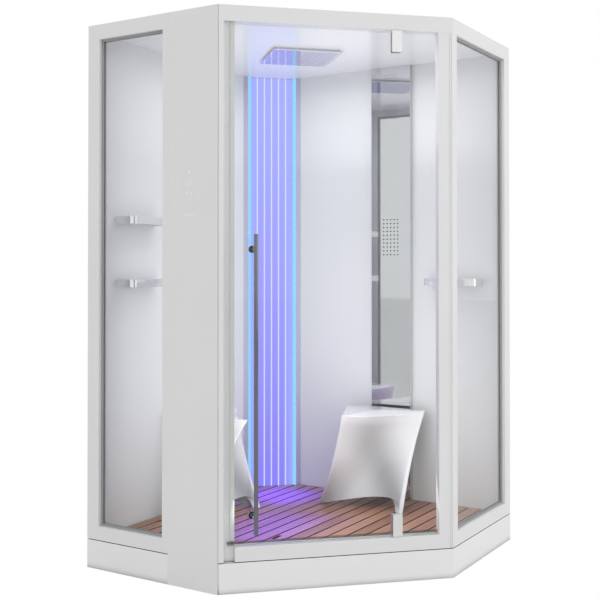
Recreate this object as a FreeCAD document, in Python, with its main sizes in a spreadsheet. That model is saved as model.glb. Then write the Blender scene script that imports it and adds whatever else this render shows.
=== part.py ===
import FreeCAD, Part
import math
import os
import re

import Sketcher
from FreeCAD import Placement, Rotation, Vector

# A five-sided steam shower cabin: two walls, two fixed panes, a pivot door across the
# corner, a rain head, a body-jet column, a light panel, shelves and two loose stools.
# Row frame: x and y run along the two walls, z up, origin in the middle of the square
# plan at floor level. The walls stand on the -x and +y sides.

doc = FreeCAD.newDocument("steam_shower_cabin")

SIZES = [
    # overall
    ("footprint", 1300, "width and depth of the square plan"),
    ("return_length", 645, "length of each side glass face"),
    ("overall_height", 2180, "floor to top of frame"),
    # tray
    ("tray_height", 113, "floor to outer rim of tray"),
    ("shadow_gap", 3, "dark gap between tray rim and frame"),
    ("tray_skin", 6, "wall thickness of tray"),
    ("bowl_depth", 50, "frame seat down to tray floor"),
    ("ledge_drop", 12, "frame seat down to ledge under slats"),
    ("ledge_width", 24, "width of ledge under slats"),
    ("tray_clearance", 3, "gap from frame to slat ledge"),
    ("drain_x", -60, "drain position"),
    ("drain_y", 60, "drain position"),
    ("drain_radius", 46, "drain hole radius"),
    ("trap_height", 30, "height of waste trap below tray floor"),
    ("spigot_radius", 20, "waste outlet radius"),
    ("spigot_length", 24, "waste outlet length"),
    # supports
    ("bar_size", 30, "square tube of support frame"),
    ("bar_inset", 50, "tray edge to end of support bars"),
    ("front_bar_y", -165, "front support bar"),
    ("rear_bar_y", 385, "rear support bar"),
    ("left_bar_x", -415, "left cross bar"),
    ("right_bar_x", 135, "right cross bar"),
    ("foot_radius", 25, "levelling foot radius"),
    # duckboard
    ("slat_pitch", 60.4, "slat spacing"),
    ("slat_gap", 8, "gap between slats"),
    ("slat_phase", -12.2, "x of the gap nearest the middle"),
    ("slat_thickness", 20, "slat thickness"),
    ("bearer_width", 30, "width of battens under slats"),
    # frame
    ("rail_height", 55, "bottom rail height"),
    ("header_height", 60, "top rail height"),
    ("header_shoulder", 30, "depth of top rail beside roof"),
    ("roof_drop", 30, "roof underside below top of frame"),
    ("roof_sheet", 6, "roof panel thickness"),
    ("post_width", 60, "wall post width"),
    ("post_depth", 45, "frame depth"),
    ("wall_sheet", 25, "wall panel thickness"),
    ("wall_shoulder", 12, "wall thickness beside roof"),
    ("service_width", 232, "service panel width"),
    ("mullion_face", 29, "mullion width beside service panel"),
    ("mullion_leg", 20, "mullion leg behind service panel"),
    ("panel_sheet", 5, "service panel thickness"),
    ("strike_face", 23, "front face of strike post"),
    ("strike_groove", 4, "shadow groove beside strike face"),
    ("strike_width", 66, "strike post width"),
    ("strike_leg", 25, "strike post leg behind service panel"),
    ("pivot_face", 58, "pivot post width on door side"),
    ("pivot_return", 45, "pivot post width on right side"),
    ("pivot_depth", 32, "pivot post depth"),
    # fixed glass
    ("gasket_face", 9, "visible gasket width"),
    ("gasket_depth", 16, "gasket thickness"),
    ("gasket_setback", 14, "outer face to gasket"),
    ("pane_thickness", 6, "side glass thickness"),
    ("pane_edge", 3, "frame to glass edge"),
    # door
    ("door_thickness", 8, "door glass thickness"),
    ("door_setback", 5, "front plane to door glass"),
    ("door_left_edge", 36, "free edge from left corner"),
    ("pivot_from_corner", 228.31, "pivot axis from right corner"),
    ("door_side_gap", 4, "door glass to pivot post"),
    ("door_top_gap", 10, "door glass to top rail"),
    ("door_bottom_gap", 10, "door glass to sill"),
    ("clamp_width", 38, "pivot clamp width"),
    ("clamp_cover", 76, "clamp height on glass"),
    ("clamp_plate", 9, "clamp plate thickness"),
    ("clamp_gap", 2, "clamp to frame"),
    ("notch_width", 24, "glass notch width in clamp"),
    ("notch_height", 22, "glass notch height in clamp"),
    ("pin_radius", 4, "pivot pin radius"),
    ("pin_play", 0.05, "running clearance of pin"),
    ("bush_radius", 6.5, "pivot bush radius"),
    ("bush_length", 16, "pivot bush length"),
    ("seal_wall", 1.5, "door seal wall"),
    ("seal_cover", 8, "door seal height on glass"),
    ("strike_seal_width", 16, "strip seal width"),
    ("handle_at", 134, "handle from left corner"),
    ("handle_radius", 8, "handle tube radius"),
    ("handle_reach", 58, "front plane to handle axis"),
    ("handle_bottom", 227, "handle lower end"),
    ("handle_length", 1100, "handle length"),
    ("handle_inset", 55, "standoff from handle end"),
    ("standoff_radius", 6, "standoff radius"),
    ("knob_radius", 11, "standoff disc radius"),
    # service space
    ("cabinet_depth", 210, "service space depth"),
    ("liner_end", 95, "front corner to end of liner back"),
    ("liner_sheet", 5, "liner thickness"),
    ("touch_width", 50, "touch strip width"),
    ("touch_height", 190, "touch strip height"),
    ("touch_bottom", 1391, "touch strip lower edge"),
    ("touch_from_corner", 157, "front corner to far edge of touch strip"),
    ("touch_sheet", 1, "touch strip thickness"),
    ("boiler_radius", 62, "steam tank radius"),
    ("boiler_height", 260, "steam tank height"),
    ("boiler_from_corner", 145, "front corner to steam tank axis"),
    ("boiler_in", 90, "left face to steam tank axis"),
    ("steam_outlet_z", 440, "steam outlet height"),
    ("inlet_first", 72, "left wall line to first water inlet"),
    ("inlet_spacing", 36, "distance between water inlets"),
    ("inlet_height", 1010, "height of water inlets"),
    ("inlet_radius", 13, "water inlet socket radius"),
    ("inlet_bore", 9.3, "bore of half-inch inlet thread"),
    ("pipe_radius", 6.5, "water pipe radius"),
    ("pipe_bore", 5, "water pipe bore radius"),
    # light panel
    ("light_inset", 180, "outer corner to panel face"),
    ("light_frame", 22.6, "frame width of light panel"),
    ("light_bar", 15.1, "width of each light bar"),
    ("light_step", 14, "depth of light bar recess"),
    ("light_recess", 30, "depth of light field"),
    ("light_back", 4, "light panel back thickness"),
    ("fin_pitch", 36, "fin spacing"),
    ("fin_width", 3, "fin width"),
    ("fin_height", 14, "fin height"),
    # column
    ("column_from_right", 558, "right face to middle of column"),
    ("column_width", 200, "column width"),
    ("column_reach", 28, "column proud of wall"),
    ("column_sheet", 2, "column sheet thickness"),
    ("column_foot", 2, "column above slats"),
    ("jets_drop", 804, "ceiling to middle of body jets"),
    ("jets_across", 18.1, "body jet spacing across"),
    ("jets_up", 18.3, "body jet spacing up"),
    ("jets_head", 3.4, "body jet radius"),
    ("jets_columns", 5, "number of body jet columns"),
    ("jets_rows", 10, "number of body jet rows"),
    ("spray_drop", 214.5, "ceiling to middle of spray field"),
    ("spray_across", 10.5, "spray nozzle spacing across"),
    ("spray_up", 10.5, "spray nozzle spacing up"),
    ("spray_head", 1.9, "spray nozzle radius"),
    ("spray_columns", 7, "number of spray nozzle columns"),
    ("spray_rows", 7, "number of spray nozzle rows"),
    ("crown_drop", 55, "ceiling to middle of top nozzles"),
    ("crown_across", 13, "top nozzle spacing across"),
    ("crown_up", 15, "top nozzle spacing up"),
    ("crown_head", 2.2, "top nozzle radius"),
    ("crown_columns", 5, "number of top nozzle columns"),
    ("crown_rows", 3, "number of top nozzle rows"),
    # rain head
    ("rain_side", 308, "side of rain plate"),
    ("rain_from_side", 510, "left wall line to middle of rain head"),
    ("rain_from_rear", 485, "rear wall line to middle of rain head"),
    ("rain_sheet", 3, "rain plate thickness"),
    ("rain_drop", 13, "rain plate underside below ceiling"),
    ("rain_boss", 14, "rain head inlet radius"),
    # shelves
    ("shelf_length", 250, "shelf length"),
    ("shelf_reach", 98, "shelf depth"),
    ("shelf_band", 32, "band height"),
    ("shelf_corner", 22, "shelf corner radius"),
    ("band_sheet", 2, "band thickness"),
    ("shelf_plate", 8, "shelf plate thickness"),
    ("left_shelf_at", 259, "left face to middle of left shelves"),
    ("right_shelf_at", 239, "right face to middle of right shelf"),
    ("upper_shelf_top", 1416, "upper shelf height"),
    ("lower_shelf_top", 1154, "lower shelf height"),
    # stools
    ("stool_height", 430, "seat above slats"),
    ("stool_skin", 14, "stool wall thickness"),
    ("stool_dip", 18, "dip of the front seat edge"),
    ("stool_waist", 0.06, "share by which the stool draws in at half height"),
    ("stool_bow", 6, "hollow of each stool side in plan at seat and floor"),
    ("stool_front_cave", 52, "further hollow of the front stool side at half height"),
    ("stool_side_cave", 14, "further hollow of the two other stool sides at half height"),
    ("stool_arch", 57, "height of the gap under each stool side"),
    ("right_stool_side", 575, "right face to right stool"),
    ("right_stool_rear", 205, "rear wall line to right stool"),
    ("left_stool_side", 193, "left wall line to left stool"),
    ("left_stool_rear", 698, "rear wall line to left stool"),
]

sheet = doc.addObject("Spreadsheet::Sheet", "sizes")
for row, (alias, value, meaning) in enumerate(SIZES, start=1):
    sheet.set("A%d" % row, meaning)
    sheet.set("B%d" % row, str(value))
    sheet.setAlias("B%d" % row, alias)
doc.recompute()

NAMES = sorted((entry[0] for entry in SIZES), key=len, reverse=True)
NAME_PATTERN = re.compile(r"\b(%s)\b" % "|".join(NAMES))


def bound(formula):
    """Turns the plain size names in a formula into references to the sheet."""
    return NAME_PATTERN.sub(r"sizes.\1", str(formula))


def size(name):
    """The present value of one driving size."""
    return float(sheet.get(name))


# --------------------------------------------------------------------------
# Side frames: s runs along a face, d goes inward from it, z up
# --------------------------------------------------------------------------
SIDES = {
    "plan": ("0", "0", 0),
    "left": ("-footprint / 2", "-footprint / 2", 0),
    "front": ("return_length - footprint / 2", "-footprint / 2", 45),
    "right": ("footprint / 2", "footprint / 2 - return_length", 90),
    "rear": ("footprint / 2", "footprint / 2", 180),
    "side": ("-footprint / 2", "footprint / 2", 270),
    "light": (
        "light_inset * sqrt(2) - wall_sheet - footprint / 2",
        "footprint / 2 - wall_sheet",
        225,
    ),
}

AXES = {
    "up": Rotation(),
    "inward": Rotation(Vector(1, 0, 0), -90),
    "outward": Rotation(Vector(1, 0, 0), 90),
    "along": Rotation(Vector(0, 1, 0), 90),
}

half = "(footprint / 2)"
seat = "(tray_height + shadow_gap)"
rail_top = f"({seat} + rail_height)"
header_low = "(overall_height - header_height)"
ceiling = "(overall_height - roof_drop)"
door_face = "((footprint - return_length) * sqrt(2))"
slat_top = f"({seat} - ledge_drop + slat_thickness)"
glass_low = f"({rail_top} + door_bottom_gap)"
glass_high = f"({header_low} - door_top_gap)"
light_width = "(2 * (light_inset - wall_sheet * sqrt(2)))"
panel_start = "(return_length - service_width)"
mullion_start = f"({panel_start} - mullion_face)"
cabinet_end = "(return_length - liner_end)"
touch_at = "(return_length - touch_from_corner)"
door_pivot_at = f"({door_face} - pivot_from_corner)"
boiler_x = f"(return_length - boiler_from_corner - {half})"
boiler_y = f"(boiler_in - {half})"
rain_x = f"(rain_from_side - {half})"
rain_y = f"({half} - rain_from_rear)"
column_x = f"({half} - column_from_right)"


def stand(obj, side, s="0", d="0", z="0", axis="up"):
    """Places an object in the frame of one side of the cabin."""
    origin_x, origin_y, angle = SIDES[side]
    turn = Rotation(Vector(0, 0, 1), angle) * AXES[axis]
    obj.Placement = Placement(Vector(), turn)
    cos, sin = f"cos({angle})", f"sin({angle})"
    obj.setExpression("Placement.Base.x", bound(f"{origin_x} + ({s}) * {cos} - ({d}) * {sin}"))
    obj.setExpression("Placement.Base.y", bound(f"{origin_y} + ({s}) * {sin} + ({d}) * {cos}"))
    obj.setExpression("Placement.Base.z", bound(z))
    return obj


# --------------------------------------------------------------------------
# Sketched bodies
# --------------------------------------------------------------------------
def new_body(label, side="plan", s="0", d="0", z="0"):
    body = doc.addObject("PartDesign::Body", label)
    body.Label = label
    return stand(body, side, s, d, z)


def pin_point(sketch, geometry, place, x, y, start):
    """Ties one sketch point to the origin by two driven distances."""
    for kind, formula, first in (("DistanceX", x, start[0]), ("DistanceY", y, start[1])):
        index = sketch.addConstraint(
            Sketcher.Constraint(kind, -1, 1, geometry, place, float(first)))
        sketch.setExpression("Constraints[%d]" % index, bound(formula))


def add_outline(sketch, outline):
    """Draws a closed polygon of (x, y) formulas, or a ("round", x, y, radius) circle."""
    if outline[0] == "round":
        _, x, y, radius = outline
        index = sketch.addGeometry(Part.Circle(Vector(5, 5, 0), Vector(0, 0, 1), 10), False)
        pin_point(sketch, index, 3, x, y, (5, 5))
        wide = sketch.addConstraint(Sketcher.Constraint("Radius", index, 10.0))
        sketch.setExpression("Constraints[%d]" % wide, bound(radius))
        return
    count = len(outline)
    first = sketch.GeometryCount
    corners = [
        Vector(300 * math.cos(2 * math.pi * k / count), 300 * math.sin(2 * math.pi * k / count), 0)
        for k in range(count)
    ]
    for k in range(count):
        sketch.addGeometry(Part.LineSegment(corners[k], corners[(k + 1) % count]), False)
    for k in range(count):
        sketch.addConstraint(
            Sketcher.Constraint("Coincident", first + k, 2, first + (k + 1) % count, 1))
    for k, (x, y) in enumerate(outline):
        pin_point(sketch, first + k, 1, x, y, (corners[k].x, corners[k].y))


def new_sketch(body, outlines, plane="XY_Plane", level="0"):
    support = next(f for f in body.Origin.OriginFeatures if f.Role == plane)
    sketch = body.newObject("Sketcher::SketchObject", body.Label + "_outline")
    sketch.AttachmentSupport = (support, [""])
    sketch.MapMode = "FlatFace"
    sketch.setExpression("AttachmentOffset.Base.z", bound(level))
    for outline in outlines:
        add_outline(sketch, outline)
    return sketch


def pad(body, outlines, low, height):
    """Grows the outlines upward from the level low."""
    feature = body.newObject("PartDesign::Pad", body.Label + "_pad")
    feature.Profile = new_sketch(body, outlines, level=low)
    feature.setExpression("Length", bound(height))
    return feature


def pocket(body, outlines, high, depth):
    """Cuts the outlines downward from the level high."""
    feature = body.newObject("PartDesign::Pocket", body.Label + "_pocket")
    feature.Profile = new_sketch(body, outlines, level=high)
    feature.setExpression("Length", bound(depth))
    return feature


def upright_pad(body, outlines, thickness):
    """Grows outlines drawn in s and z inward from the face."""
    feature = body.newObject("PartDesign::Pad", body.Label + "_sheet")
    feature.Profile = new_sketch(body, outlines, plane="XZ_Plane")
    feature.Reversed = True
    feature.setExpression("Length", bound(thickness))
    return feature


def through_bore(body, holes):
    """Bores round holes, given in s and z, right through a standing panel."""
    feature = body.newObject("PartDesign::Pocket", body.Label + "_bore")
    feature.Profile = new_sketch(body, holes, plane="XZ_Plane")
    feature.Type = 1
    feature.Midplane = True
    return feature


def prism(label, side, outline, low, height):
    """A straight vertical piece with one plan outline."""
    body = new_body(label, side)
    pad(body, [outline], low, height)
    return body


def rectangle(x_low, x_high, y_low, y_high):
    return [(x_low, y_low), (x_high, y_low), (x_high, y_high), (x_low, y_high)]


def round_edges(body, radius, chosen):
    """Rounds the edges of the body's last feature for which chosen(edge) is true."""
    doc.recompute()
    last = body.Tip
    names = [
        "Edge%d" % (number + 1)
        for number, edge in enumerate(last.Shape.Edges)
        if chosen(edge)
    ]
    feature = body.newObject("PartDesign::Fillet", body.Label + "_round")
    feature.Base = (last, names)
    feature.Radius = radius
    return feature


# --------------------------------------------------------------------------
# Primitives and booleans
# --------------------------------------------------------------------------
def block(label, side, s, d, z, length, depth, height):
    obj = doc.addObject("Part::Box", label)
    obj.Label = label
    obj.setExpression("Length", bound(length))
    obj.setExpression("Width", bound(depth))
    obj.setExpression("Height", bound(height))
    return stand(obj, side, s, d, z)


def rod(label, side, s, d, z, radius, length, axis="up"):
    obj = doc.addObject("Part::Cylinder", label)
    obj.Label = label
    obj.setExpression("Radius", bound(radius))
    obj.setExpression("Height", bound(length))
    return stand(obj, side, s, d, z, axis)


def fused(label, pieces):
    obj = doc.addObject("Part::MultiFuse", label)
    obj.Label = label
    obj.Shapes = pieces
    obj.Refine = True
    return obj


def removed(label, base, tool):
    obj = doc.addObject("Part::Cut", label)
    obj.Label = label
    obj.Base = base
    obj.Tool = tool
    return obj


def bundled(label, pieces):
    """Keeps alike pieces together as one group of separate solids."""
    obj = doc.addObject("Part::Compound", label)
    obj.Label = label
    obj.Links = pieces
    return obj


def shaped(label, shape):
    obj = doc.addObject("Part::Feature", label)
    obj.Label = label
    obj.Shape = shape
    return obj


def rounded_slab(label, side, s_low, s_high, d_low, d_high, z, height, radius):
    """A flat slab whose two corners away from the wall are round."""
    wide = f"({s_high}) - ({s_low})"
    deep = f"({d_high}) - ({d_low})"
    long_bar = block(label + "_long", side, s_low, d_low, z, wide, f"{deep} - ({radius})", height)
    nose = block(label + "_nose", side, f"({s_low}) + ({radius})", d_low, z,
                 f"{wide} - 2 * ({radius})", deep, height)
    corners = [
        rod(label + "_corner", side, at, f"({d_high}) - ({radius})", z, radius, height)
        for at in (f"({s_low}) + ({radius})", f"({s_high}) - ({radius})")
    ]
    return fused(label, [long_bar, nose] + corners)


# --------------------------------------------------------------------------
# Tray: skirted, with a seat for the frame, a ledge for the slats and a bowl
# --------------------------------------------------------------------------
panel_x = f"({panel_start} - {half})"
mullion_x = f"({mullion_start} - {half})"
cabinet_y = f"(cabinet_depth - {half})"
cabinet_x = f"({cabinet_end} - {half})"
skew = "(footprint - return_length)"


def rim_outline(inset):
    """Outer line of the tray, moved inward; it steps back behind the service panel."""
    diagonal = f"(return_length - ({inset}) * sqrt(2))"
    edge = f"({half} - ({inset}))"
    panel_y = f"(panel_sheet + ({inset}) - {half})"
    return [
        (f"-{edge}", f"-{edge}"),
        (f"{panel_x} - ({inset})", f"-{edge}"),
        (f"{panel_x} - ({inset})", panel_y),
        (f"{panel_y} + {diagonal}", panel_y),
        (edge, f"{edge} - {diagonal}"),
        (edge, edge),
        (f"-{edge}", edge),
    ]


def wet_outline(extra):
    """Edge of the wet floor: clear of the frame, walls, liner and light panel."""
    glazed = f"(post_depth + tray_clearance + ({extra}))"
    walled = f"(wall_sheet + tray_clearance + ({extra}))"
    liner = f"(tray_clearance + ({extra}))"
    near_x = f"({half} - {glazed})"
    far = f"({half} - {walled})"
    chamfer = f"((light_inset + 2 + ({extra})) * sqrt(2) - {walled})"
    jamb_s = f"(strike_width + 2 + {liner})"
    return [
        (f"-{far}", f"-{near_x}"),
        (f"{mullion_x} - {liner}", f"-{near_x}"),
        (f"{mullion_x} - {liner}", f"{cabinet_y} + {liner}"),
        (f"{cabinet_x} + {liner} * 0.6", f"{cabinet_y} + {liner}"),
        (f"return_length - {half} + ({jamb_s} - {glazed}) * cos(45)",
         f"({jamb_s} + {glazed}) * cos(45) - {half}"),
        (near_x, f"{near_x} - (return_length - {glazed} * sqrt(2))"),
        (near_x, far),
        (f"{chamfer} - {half}", far),
        (f"-{far}", f"{half} - {chamfer}"),
    ]


bowl_floor = f"({seat} - bowl_depth)"
ledge = f"({seat} - ledge_drop)"

tray = new_body("shower_tray")
pad(tray, [rim_outline("0")], "0", "tray_height")
pad(tray, [rim_outline("tray_skin")], "0", seat)
pocket(tray, [wet_outline("0")], seat, "ledge_drop")
pocket(tray, [wet_outline("ledge_width")], ledge, "bowl_depth - ledge_drop")
pocket(tray, [rim_outline("tray_skin")], f"{bowl_floor} - tray_skin", f"{bowl_floor} - tray_skin")
pocket(tray, [rim_outline("tray_skin"), wet_outline("ledge_width - tray_skin")],
       f"{ledge} - tray_skin", f"{ledge} - {bowl_floor}")
pocket(tray, [("round", "drain_x", "drain_y", "drain_radius")], bowl_floor, "tray_skin * 2")

# Welded square tubes that carry the tray floor, and the feet screwed into them
tray_under = f"({bowl_floor} - tray_skin)"
bar_low = f"({tray_under} - bar_size)"
bar_start = f"(bar_inset - {half})"
bar_end_x = f"({half} - bar_inset)"
BARS = [
    ("long_bar_front", bar_start, "front_bar_y", f"front_bar_y + {skew} - bar_inset - {bar_start}", "bar_size"),
    ("long_bar_rear", bar_start, "rear_bar_y", f"{bar_end_x} - {bar_start}", "bar_size"),
    ("cross_bar_left", "left_bar_x", bar_start, "bar_size", f"{bar_end_x} - {bar_start}"),
    ("cross_bar_right", "right_bar_x", f"right_bar_x + bar_size - {skew} + bar_inset", "bar_size",
     f"{bar_end_x} - (right_bar_x + bar_size - {skew} + bar_inset)"),
]
fused("tray_support_frame", [
    block(name, "plan", x, y, bar_low, along_x, along_y, "bar_size")
    for name, x, y, along_x, along_y in BARS
])

left_foot_x = "(left_bar_x + bar_size / 2)"
right_foot_x = "(right_bar_x + bar_size / 2)"
front_foot_y = "(front_bar_y + bar_size / 2)"
rear_foot_y = "(rear_bar_y + bar_size / 2)"
FOOT_PLACES = [
    (left_foot_x, front_foot_y),
    (right_foot_x, front_foot_y),
    (left_foot_x, rear_foot_y),
    (right_foot_x, rear_foot_y),
    (f"{half} - 90", rear_foot_y),
    (left_foot_x, f"130 - {half}"),
]
feet = []
for number, (x, y) in enumerate(FOOT_PLACES):
    pad_disc = rod("foot_pad_%d" % number, "plan", x, y, "0", "foot_radius", "8")
    stud = rod("foot_stud_%d" % number, "plan", x, y, "4", "foot_radius / 4", f"{bar_low} - 4")
    nut = rod("foot_nut_%d" % number, "plan", x, y, "12", "foot_radius * 0.4", "6")
    feet.append(fused("foot_%d" % number, [pad_disc, stud, nut]))
bundled("levelling_feet", feet)

# Waste trap hung under the drain hole, with its outlet pointing down
trap_low = f"({tray_under} - trap_height)"
spigot_low = f"({trap_low} - spigot_length)"
trap_solid = fused("trap_solid", [
    rod("trap_neck", "plan", "drain_x", "drain_y", tray_under, "drain_radius - 0.5", "tray_skin"),
    rod("trap_flange", "plan", "drain_x", "drain_y", f"{tray_under} - 4", "drain_radius + 10", "4"),
    rod("trap_cup", "plan", "drain_x", "drain_y", trap_low, "drain_radius - 3", "trap_height"),
    rod("trap_spigot", "plan", "drain_x", "drain_y", spigot_low, "spigot_radius",
        "spigot_length + 1"),
])
trap_hollow = fused("trap_hollow", [
    rod("trap_bowl", "plan", "drain_x", "drain_y", f"{trap_low} + 3", "drain_radius - 6",
        "trap_height + tray_skin"),
    rod("trap_outlet_bore", "plan", "drain_x", "drain_y", spigot_low, "spigot_radius - 2.5",
        "spigot_length + 4"),
])
removed("drain_trap", trap_solid, trap_hollow)

cover = new_body("drain_cover")
pad(cover, [("round", "drain_x", "drain_y", "drain_radius - 1")], bowl_floor, "3")
slots = [
    rectangle(f"drain_x + {20 * k - 4}", f"drain_x + {20 * k + 4}", "drain_y - 24", "drain_y + 24")
    for k in (-1, 0, 1)
]
pocket(cover, slots, f"{bowl_floor} + 3", "3")

# Duckboard: battens on the tray floor, slats across them resting on the ledge as well
batten_start = f"(90 - {half})"
batten_before_drain = "(drain_y - drain_radius - 264)"
batten_behind_drain = "(drain_y + drain_radius + 44)"
BATTENS = [
    (f"150 - {half}", batten_start, f"{mullion_x} - 64"),
    (batten_before_drain, batten_start, f"{batten_before_drain} + {skew} - 155"),
    (batten_behind_drain, batten_start,
     f"min({half} - 90; {batten_behind_drain} + {skew} - 155)"),
    (f"{half} - 220", f"270 - {half}", f"{half} - 90"),
]
battens = [
    block("batten_%d" % number, "plan", low, f"{y} - bearer_width / 2", bowl_floor,
          f"{high} - ({low})", "bearer_width", "bowl_depth - ledge_drop")
    for number, (y, low, high) in enumerate(BATTENS)
]
bundled("duckboard_battens", battens)

floor_plan = prism("slat_limit", "plan", wet_outline("1.5"), ledge, "slat_thickness")
doc.recompute()
pitch = size("slat_pitch")
slat_width = pitch - size("slat_gap")
reach = size("footprint") / 2
slats = []
for k in range(-10, 11):
    low_x = size("slat_phase") + k * pitch + size("slat_gap") / 2
    if low_x < -reach + size("wall_sheet") or low_x + slat_width > reach - size("post_depth"):
        continue
    blank = Part.makeBox(slat_width, 2 * reach, 400, Vector(low_x, -reach, 0))
    slats.extend(blank.common(floor_plan.Shape).Solids)
notch = Part.makeBox(16, 60, 400, Vector(size("slat_phase") + 8, 360 - reach, 0))
slats = [slat.cut(notch).Solids[0] for slat in slats]
shaped("duckboard_slats", Part.makeCompound(slats))

# --------------------------------------------------------------------------
# Walls, posts and rails
# --------------------------------------------------------------------------
wall_height = f"{ceiling} - {seat}"

wall_left = new_body("wall_panel_left", "side")
pad(wall_left, [rectangle("0", "footprint - post_depth", "0", "wall_sheet")], seat, wall_height)
pad(wall_left, [rectangle("0", "footprint - post_depth", "0", "wall_shoulder")], ceiling, "roof_drop")

inlet_x = (f"(inlet_first - {half})", f"(inlet_first + inlet_spacing - {half})")
wall_right = new_body("wall_panel_right", "rear")
wall_span = ("post_depth", "footprint - wall_sheet")
pad(wall_right, [rectangle(*wall_span, "0", "wall_sheet")], seat, wall_height)
pad(wall_right, [rectangle(*wall_span, "0", "wall_shoulder")], ceiling, "roof_drop")
through_bore(wall_right, [
    ("round", f"{half} - {x}", "inlet_height", "inlet_radius + 0.5") for x in inlet_x])

post_height = f"{header_low} - {seat}"
prism("post_left_rear", "left", rectangle("0", "post_width", "0", "post_depth"), seat, post_height)
prism("post_right_rear", "right",
      rectangle("return_length - post_width", "return_length", "0", "post_depth"),
      seat, post_height)

prism("post_mullion", "left", [
    (mullion_start, "0"),
    (panel_start, "0"),
    (panel_start, "panel_sheet"),
    (f"{panel_start} + mullion_leg", "panel_sheet"),
    (f"{panel_start} + mullion_leg", "post_depth"),
    (mullion_start, "post_depth"),
], seat, post_height)

# The strike post turns the corner behind the edge of the service panel
panel_line = "(panel_sheet * sqrt(2))"
corner_start = "(panel_sheet * 0.8)"
leg = "(strike_leg * cos(45))"
rebate = "(door_setback + door_thickness + 5)"
groove_end = "(strike_face + strike_groove)"
prism("post_door_strike", "front", [
    (corner_start, "0"),
    ("strike_face", "0"),
    ("strike_face", "6"),
    (groove_end, "6"),
    (groove_end, rebate),
    ("strike_width", rebate),
    ("strike_width", "post_depth"),
    (f"post_depth - {panel_line} - 2 * {leg}", "post_depth"),
    (f"-{leg}", f"{panel_line} + {leg}"),
    (corner_start, f"{panel_line} - {corner_start}"),
], seat, post_height)


def joint_line(at):
    """A fine seam in a post face."""
    return [(f"{at} - 0.6", "0"), (f"{at} - 0.6", "1.5"), (f"{at} + 0.6", "1.5"), (f"{at} + 0.6", "0")]


pivot_outline = [(f"{door_face} - pivot_face", "0")]
pivot_outline += joint_line(f"{door_face} - 12.3")
pivot_outline += joint_line(f"{door_face} - 4.3")
pivot_outline += [
    (door_face, "0"),
    (f"{door_face} + pivot_return * cos(45)", "pivot_return * cos(45)"),
    (f"{door_face} + (pivot_return - pivot_depth) * cos(45)", "(pivot_return + pivot_depth) * cos(45)"),
    (f"{door_face} - pivot_depth * tan(22.5)", "pivot_depth"),
    (f"{door_face} - pivot_face", "pivot_depth"),
]
prism("post_door_pivot", "front", pivot_outline, seat, post_height)

prism("bottom_rail_left", "left", rectangle("post_width", mullion_start, "0", "post_depth"),
      seat, "rail_height")
prism("bottom_rail_right", "right",
      rectangle("pivot_return", "return_length - post_width", "0", "post_depth"), seat, "rail_height")

bush_hole = ("round", door_pivot_at, "door_setback + door_thickness / 2", "bush_radius")
sill = new_body("door_sill", "front")
pad(sill, [rectangle("strike_width", f"{door_face} - pivot_face", "0", "post_depth")],
    seat, "rail_height")
pocket(sill, [bush_hole], rail_top, "bush_length")


def header(label, side, outline_of_depth):
    """A top rail: full depth under the roof, slimmer beside it."""
    body = new_body(label, side)
    pad(body, [outline_of_depth("post_depth")], header_low, "header_height - roof_drop")
    pad(body, [outline_of_depth("header_shoulder")], ceiling, "roof_drop")
    return body


header("header_left", "left", lambda depth: [
    ("0", "0"),
    (panel_start, "0"),
    (panel_start, "panel_sheet"),
    ("return_length - panel_sheet * tan(22.5)", "panel_sheet"),
    (f"return_length - {depth} * tan(22.5)", depth),
    ("0", depth),
])
header_front = header("header_front", "front", lambda depth: [
    (corner_start, "0"),
    (door_face, "0"),
    (f"{door_face} - {depth} * tan(22.5)", depth),
    (f"{depth} * tan(22.5)", depth),
    ("panel_sheet * tan(22.5)", "panel_sheet"),
    (corner_start, f"{panel_line} - {corner_start}"),
])
pocket(header_front, [bush_hole], f"{header_low} + bush_length", "bush_length")
header("header_right", "right", lambda depth: [
    ("0", "0"),
    ("return_length", "0"),
    ("return_length", depth),
    (f"{depth} * tan(22.5)", depth),
])

# --------------------------------------------------------------------------
# Fixed panes, each held by a dark gasket all round
# --------------------------------------------------------------------------
def fixed_pane(name, side, s_low, s_high):
    pane_d = "gasket_setback + (gasket_depth - pane_thickness) / 2"
    wide = f"({s_high}) - ({s_low})"
    tall = f"{header_low} - {rail_top}"
    glass_size = (f"({s_low}) + pane_edge", pane_d, f"{rail_top} + pane_edge",
                  f"{wide} - 2 * pane_edge", "pane_thickness", f"{tall} - 2 * pane_edge")
    block("side_glass_" + name, side, *glass_size)
    outer = block(name + "_gasket_outer", side, s_low, "gasket_setback", rail_top,
                  wide, "gasket_depth", tall)
    opening = block(name + "_gasket_opening", side, f"({s_low}) + gasket_face", "0",
                    f"{rail_top} + gasket_face", f"{wide} - 2 * gasket_face", "post_depth",
                    f"{tall} - 2 * gasket_face")
    groove = block(name + "_gasket_groove", side, *glass_size)
    ring = removed(name + "_gasket_ring", outer, opening)
    removed("glazing_gasket_" + name, ring, groove)


fixed_pane("left", "left", "post_width", mullion_start)
fixed_pane("right", "right", "pivot_return", "return_length - post_width")

# --------------------------------------------------------------------------
# Pivot door
# --------------------------------------------------------------------------
door_right_edge = f"({door_face} - pivot_face - door_side_gap)"
notch_low = f"({door_pivot_at} - notch_width / 2)"
notch_high = f"({door_pivot_at} + notch_width / 2)"
handle_levels = ("handle_bottom + handle_inset", "handle_bottom + handle_length - handle_inset")

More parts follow.
